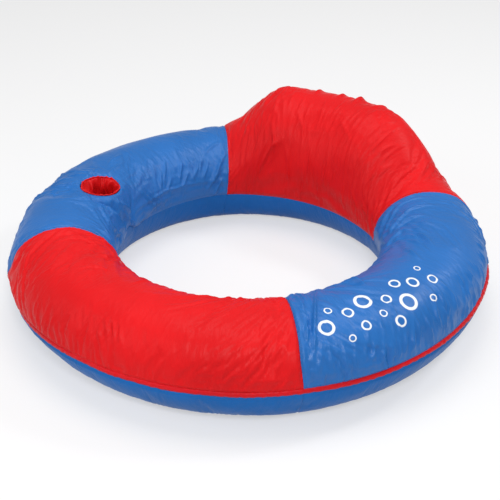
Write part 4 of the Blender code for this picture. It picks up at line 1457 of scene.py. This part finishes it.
# Stitches: stations and columns between a row and the seams, the outer row's distance from the rim
# under the ring, the sides of a stitch, and its section: place along it and share of its radius
END_STATIONS = 8
BESIDE_STATIONS = 2
BESIDE_COLUMNS = 2
UNDER_INSET = 0.006
STITCH_SIDES = 6
STITCH_PROFILE = ((-0.5, 0.35), (-0.32, 1.0), (0.32, 1.0), (0.5, 0.35))


class LOUNGER_OT_stitches(Operator):
    """Sews rows of stitches along the seams"""

    bl_idname = "lounger.stitches"
    bl_label = "Stitches"

    def execute(self, context):
        sizes = context.scene.lounger_stitches
        colours = context.scene.lounger_colours
        red = thread_finish("red_thread", shade(colours.red, 0.8))
        blue = thread_finish("blue_thread", shade(colours.blue, 0.8))
        run = cover().run[0]
        column = int(round(sizes.inset / run[1]))
        edge = TOP_COLUMNS - 1 - BESIDE_COLUMNS
        low = -1 - int(round(UNDER_INSET / (run[-1] - run[-2])))
        under = []
        for index, side in enumerate(SIDES):
            stations = panel_stations(index)
            inner = stations[END_STATIONS:-END_STATIONS]
            rows = [(inner, column), (inner, edge)]
            for k in (BESIDE_STATIONS, -1 - BESIDE_STATIONS):
                rows.append((stations[k], slice(column, edge)))
            under.append((inner, low))
            finish, slot = (red, "red_cloth") if side in ("front", "back") else (blue, "blue_cloth")
            piece("stitches_" + side, self.sewn("stitches_" + side, rows, sizes), finish, ())
        mesh = self.sewn("stitches_under", under, sizes)
        piece("stitches_under", mesh, blue, ())
        return {"FINISHED"}

    def sewn(self, name, rows, sizes):
        """One mesh of stitches along rows of the cover's points."""
        places, alongs, outs = [], [], []
        for row in rows:
            line, out = cover().points[row], cover().out[row]
            walked = np.concatenate([[0], np.cumsum(np.linalg.norm(np.diff(line, axis=0), axis=1))])
            at = np.arange(sizes.pitch / 2, walked[-1], sizes.pitch)
            point = np.stack([np.interp(at, walked, line[:, k]) for k in range(3)], 1)
            ahead = np.stack([np.interp(at + 0.001, walked, line[:, k]) for k in range(3)], 1)
            along = ahead - point
            along[np.linalg.norm(along, axis=1) < 1e-7] = (1, 0, 0)
            normal = np.stack([np.interp(at, walked, out[:, k]) for k in range(3)], 1)
            places.append(point)
            alongs.append(along / np.linalg.norm(along, axis=1, keepdims=True))
            outs.append(normal / np.linalg.norm(normal, axis=1, keepdims=True))
        place, along, out = (np.concatenate(a) for a in (places, alongs, outs))
        beside = np.cross(out, along)
        verts = []
        for x, r in STITCH_PROFILE:
            for t in full_turn(STITCH_SIDES):
                verts.append(
                    place
                    + along * x * sizes.length
                    + beside * r * sizes.thread * math.cos(t)
                    + out * r * sizes.thread * math.sin(t)
                )
        verts = np.stack(verts, 1)
        count = len(STITCH_PROFILE)
        sides = grid_quads(count, STITCH_SIDES, tubular=True)[..., [0, 3, 2, 1]].reshape(-1, 4)
        ring = np.arange(STITCH_SIDES)
        starts = np.arange(len(verts))[:, None] * verts.shape[1]
        polygons = (sides[None] + starts[..., None]).reshape(-1, 4).tolist()
        for cap in (ring[::-1], ring + (count - 1) * STITCH_SIDES):
            polygons += (cap + starts).tolist()
        mesh = bpy.data.meshes.new(name)
        mesh.from_pydata(verts.reshape(-1, 3).tolist(), [], polygons)
        return mesh


# The backrest bladder's reach round the ring, in degrees, its trim at both ends of the section, and
# the steps between its points and the ring bladder's, in stations and columns
BACKREST_SPAN = (58, 122)
BACKREST_TRIM = 14
BACKREST_STEPS = (6, 2)
RING_STEPS = (4, 2)


class LOUNGER_OT_bladders(Operator):
    """Blows up the ring bladder and the backrest bladder inside the cover"""

    bl_idname = "lounger.bladders"
    bl_label = "Bladders"

    def execute(self, context):
        finish = vinyl_finish("bladder_film", context.scene.lounger_colours.vinyl)
        plain = cover()
        inner = plain.base - normals_of(plain.base) * BLADDER_GAP
        ring = inner.copy()
        ring[..., 2] = np.clip(ring[..., 2], BLADDER_LIFT, CREST_Z - BLADDER_GAP)
        centre = pocket_centre()
        away = np.hypot(ring[..., 0] - centre.x, ring[..., 1] - centre.y)
        below = np.minimum(ring[..., 2], POCKET_FLOOR_Z - BLADDER_STEP)
        ring[..., 2] = np.where(away < POCKET_R + POCKET_REACH, below, ring[..., 2])
        ring = ring[::RING_STEPS[0], ::RING_STEPS[1]]
        made = self.closed("ring_air_bladder", ring, finish, "ring_bladder", True)
        low, high = BACKREST_SPAN
        stations = range(0, STATIONS, BACKREST_STEPS[0])
        half = [i for i in stations if low <= plain.angles[i] <= high]
        top = inner[half][:, BACKREST_TRIM:TOP_COLUMNS - BACKREST_TRIM:BACKREST_STEPS[1]]
        under = top.copy()
        under[..., 2] = np.minimum(top[..., 2] - BLADDER_STEP, CREST_Z - BLADDER_LIFT)
        loop = np.concatenate([top, under[:, ::-1]], 1)
        made = self.closed("backrest_air_bladder", loop, finish, "backrest_bladder", False)
        return {"FINISHED"}

    def closed(self, name, rows, finish, node, ring):
        """A closed bladder through rows of points, joined to a ring or capped at its ends."""
        count, columns = rows.shape[:2]
        bm = bmesh.new()
        grid = [[bm.verts.new(point) for point in row] for row in rows]
        for i in range(count if ring else count - 1):
            for j in range(columns):
                after, beside = (i + 1) % count, (j + 1) % columns
                bm.faces.new((grid[i][j], grid[after][j], grid[after][beside], grid[i][beside]))
        if not ring:
            bm.faces.new(grid[0])
            bm.faces.new(grid[-1][::-1])
        bmesh.ops.recalc_face_normals(bm, faces=bm.faces)
        mesh = bpy.data.meshes.new(name)
        bm.to_mesh(mesh)
        bm.free()
        return piece(name, mesh, finish, (node,))


class LOUNGER_OT_zip(Operator):
    """Finishes the zip's tapes, chains, stops, slider and pull"""

    bl_idname = "lounger.zip"
    bl_label = "Zip"

    def execute(self, context):
        colour = context.scene.lounger_colours.zip
        tape = tape_finish("zip_tape_weave", colour)
        plastic = moulded_finish("zip_moulding", colour)
        for node in sorted(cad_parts):
            if node.startswith("zip_tape"):
                dress(node, tape)
            elif node.startswith("zip_"):
                dress(node, plastic)
        return {"FINISHED"}


class LOUNGER_OT_valves(Operator):
    """Finishes the two valves and their plugs"""

    bl_idname = "lounger.valves"
    bl_label = "Valves"

    def execute(self, context):
        finish = vinyl_finish("valve_moulding", context.scene.lounger_colours.vinyl, 0.3)
        for node in ("ring_valve", "ring_valve_plug", "backrest_valve", "backrest_valve_plug"):
            dress(node, finish)
        return {"FINISHED"}


# The photograph's view, in a picture of 500 by 500 pixels
PICTURE = 500
FOCAL_PIXELS = 1120.06
CENTRE_PIXEL = (247.93, 244.46)
VIEW_AZIMUTH = 33.0
VIEW_ELEVATION = 30.38
VIEW_DISTANCE = 2.56
VIEW_HEIGHT = 0.1178
SENSOR = 36.0
# The lamps' places and sizes
LAMPS = {
    "key": ((1.5, -2.0, 2.4), 0.7),
    "fill": ((-1.6, -2.4, 1.9), 2.0),
    "back": ((1.5, 1.7, 2.4), 0.6),
    "top": ((-0.2, 0.3, 3.3), 2.2),
}
FLOOR_SIZE = 14


def view_frame():
    """The camera's place, and the directions out of the picture, to its right and to its top."""
    azimuth, elevation = math.radians(VIEW_AZIMUTH), math.radians(VIEW_ELEVATION)
    level = math.cos(elevation)
    back = Vector((math.sin(azimuth) * level, -math.cos(azimuth) * level, math.sin(elevation)))
    right = Vector((math.cos(azimuth), math.sin(azimuth), 0))
    return back * VIEW_DISTANCE + Vector((0, 0, VIEW_HEIGHT)), back, right, back.cross(right)


class LOUNGER_OT_studio(Operator):
    """Lays the floor and sets up the lamps, the surroundings and the camera"""

    bl_idname = "lounger.studio"
    bl_label = "Studio"

    def execute(self, context):
        sizes = context.scene.lounger_studio
        bpy.ops.object.select_all(action="DESELECT")
        bpy.ops.mesh.primitive_plane_add(size=FLOOR_SIZE)
        floor = context.object
        floor.name = "studio_floor"
        floor.data.materials.append(floor_finish("studio_floor", sizes.floor, sizes.lift))
        for name, (place, size) in LAMPS.items():
            self.lamp(name + "_lamp", place, size, getattr(sizes, name))
        self.surroundings(sizes.ambient)
        self.camera()
        context.scene.view_settings.view_transform = "Standard"
        return {"FINISHED"}

    def lamp(self, name, place, size, power):
        """A round lamp that faces the origin."""
        data = bpy.data.lights.new(name, "AREA")
        data.shape = "DISK"
        data.size = size
        data.energy = power
        made = bpy.data.objects.new(name, data)
        made.location = place
        made.rotation_euler = Vector(place).to_track_quat("Z", "Y").to_euler()
        bpy.context.scene.collection.objects.link(made)

    def surroundings(self, strength):
        """White where the camera looks and where light passes through, and soft light on everything
        else.
        """
        world = bpy.data.worlds.new("studio")
        bpy.context.scene.world = world
        world.use_nodes = True
        tree = world.node_tree
        path = tree.nodes.new("ShaderNodeLightPath")
        seen = tree.nodes.new("ShaderNodeMath")
        seen.operation = "MAXIMUM"
        tree.links.new(path.outputs["Is Camera Ray"], seen.inputs[0])
        tree.links.new(path.outputs["Is Transmission Ray"], seen.inputs[1])
        level = tree.nodes.new("ShaderNodeMapRange")
        level.inputs["To Min"].default_value = strength
        level.inputs["To Max"].default_value = 1
        tree.links.new(seen.outputs[0], level.inputs["Value"])
        tree.links.new(level.outputs[0], tree.nodes["Background"].inputs["Strength"])
        tree.nodes["Background"].inputs["Color"].default_value = (1, 1, 1, 1)

    def camera(self):
        """The photograph's camera, fitted to the ring's rim and hole."""
        data = bpy.data.cameras.new("camera")
        made = bpy.data.objects.new("camera", data)
        bpy.context.scene.collection.objects.link(made)
        made.location, back = view_frame()[:2]
        made.rotation_euler = back.to_track_quat("Z", "Y").to_euler()
        data.sensor_width = SENSOR
        data.lens = FOCAL_PIXELS / PICTURE * SENSOR
        data.shift_x = (PICTURE / 2 - CENTRE_PIXEL[0]) / PICTURE
        data.shift_y = (CENTRE_PIXEL[1] - PICTURE / 2) / PICTURE
        bpy.context.scene.camera = made


OPERATORS = (
    LOUNGER_OT_cover, LOUNGER_OT_sleeve, LOUNGER_OT_pocket, LOUNGER_OT_stitches,
    LOUNGER_OT_bladders, LOUNGER_OT_zip, LOUNGER_OT_valves, LOUNGER_OT_studio,
)
GROUPS = {
    "lounger_colours": LoungerColours,
    "lounger_cloth": LoungerCloth,
    "lounger_stitches": LoungerStitches,
    "lounger_pocket": LoungerPocket,
    "lounger_studio": LoungerStudio,
}


class LOUNGER_PT_sidebar(Panel):
    """The lounger's sizes, colours and steps"""

    bl_idname = "LOUNGER_PT_sidebar"
    bl_label = "Pool Lounger"
    bl_space_type = "VIEW_3D"
    bl_region_type = "UI"
    bl_category = "Lounger"

    def draw(self, context):
        for group, kind in GROUPS.items():
            box = self.layout.box()
            for name in kind.__annotations__:
                box.prop(getattr(context.scene, group), name)
        for operator in OPERATORS:
            self.layout.operator(operator.bl_idname)


def register():
    for kind in (*GROUPS.values(), *OPERATORS, LOUNGER_PT_sidebar):
        bpy.utils.register_class(kind)
    for group, kind in GROUPS.items():
        setattr(bpy.types.Scene, group, PointerProperty(type=kind))


def unregister():
    for group in GROUPS:
        delattr(bpy.types.Scene, group)
    for kind in (LOUNGER_PT_sidebar, *reversed(OPERATORS), *GROUPS.values()):
        bpy.utils.unregister_class(kind)


def main():
    register()
    bpy.ops.lounger.cover()
    bpy.ops.lounger.sleeve()
    bpy.ops.lounger.pocket()
    bpy.ops.lounger.stitches()
    bpy.ops.lounger.bladders()
    bpy.ops.lounger.zip()
    bpy.ops.lounger.valves()
    bpy.ops.lounger.studio()


if __name__ == "__main__":
    main()
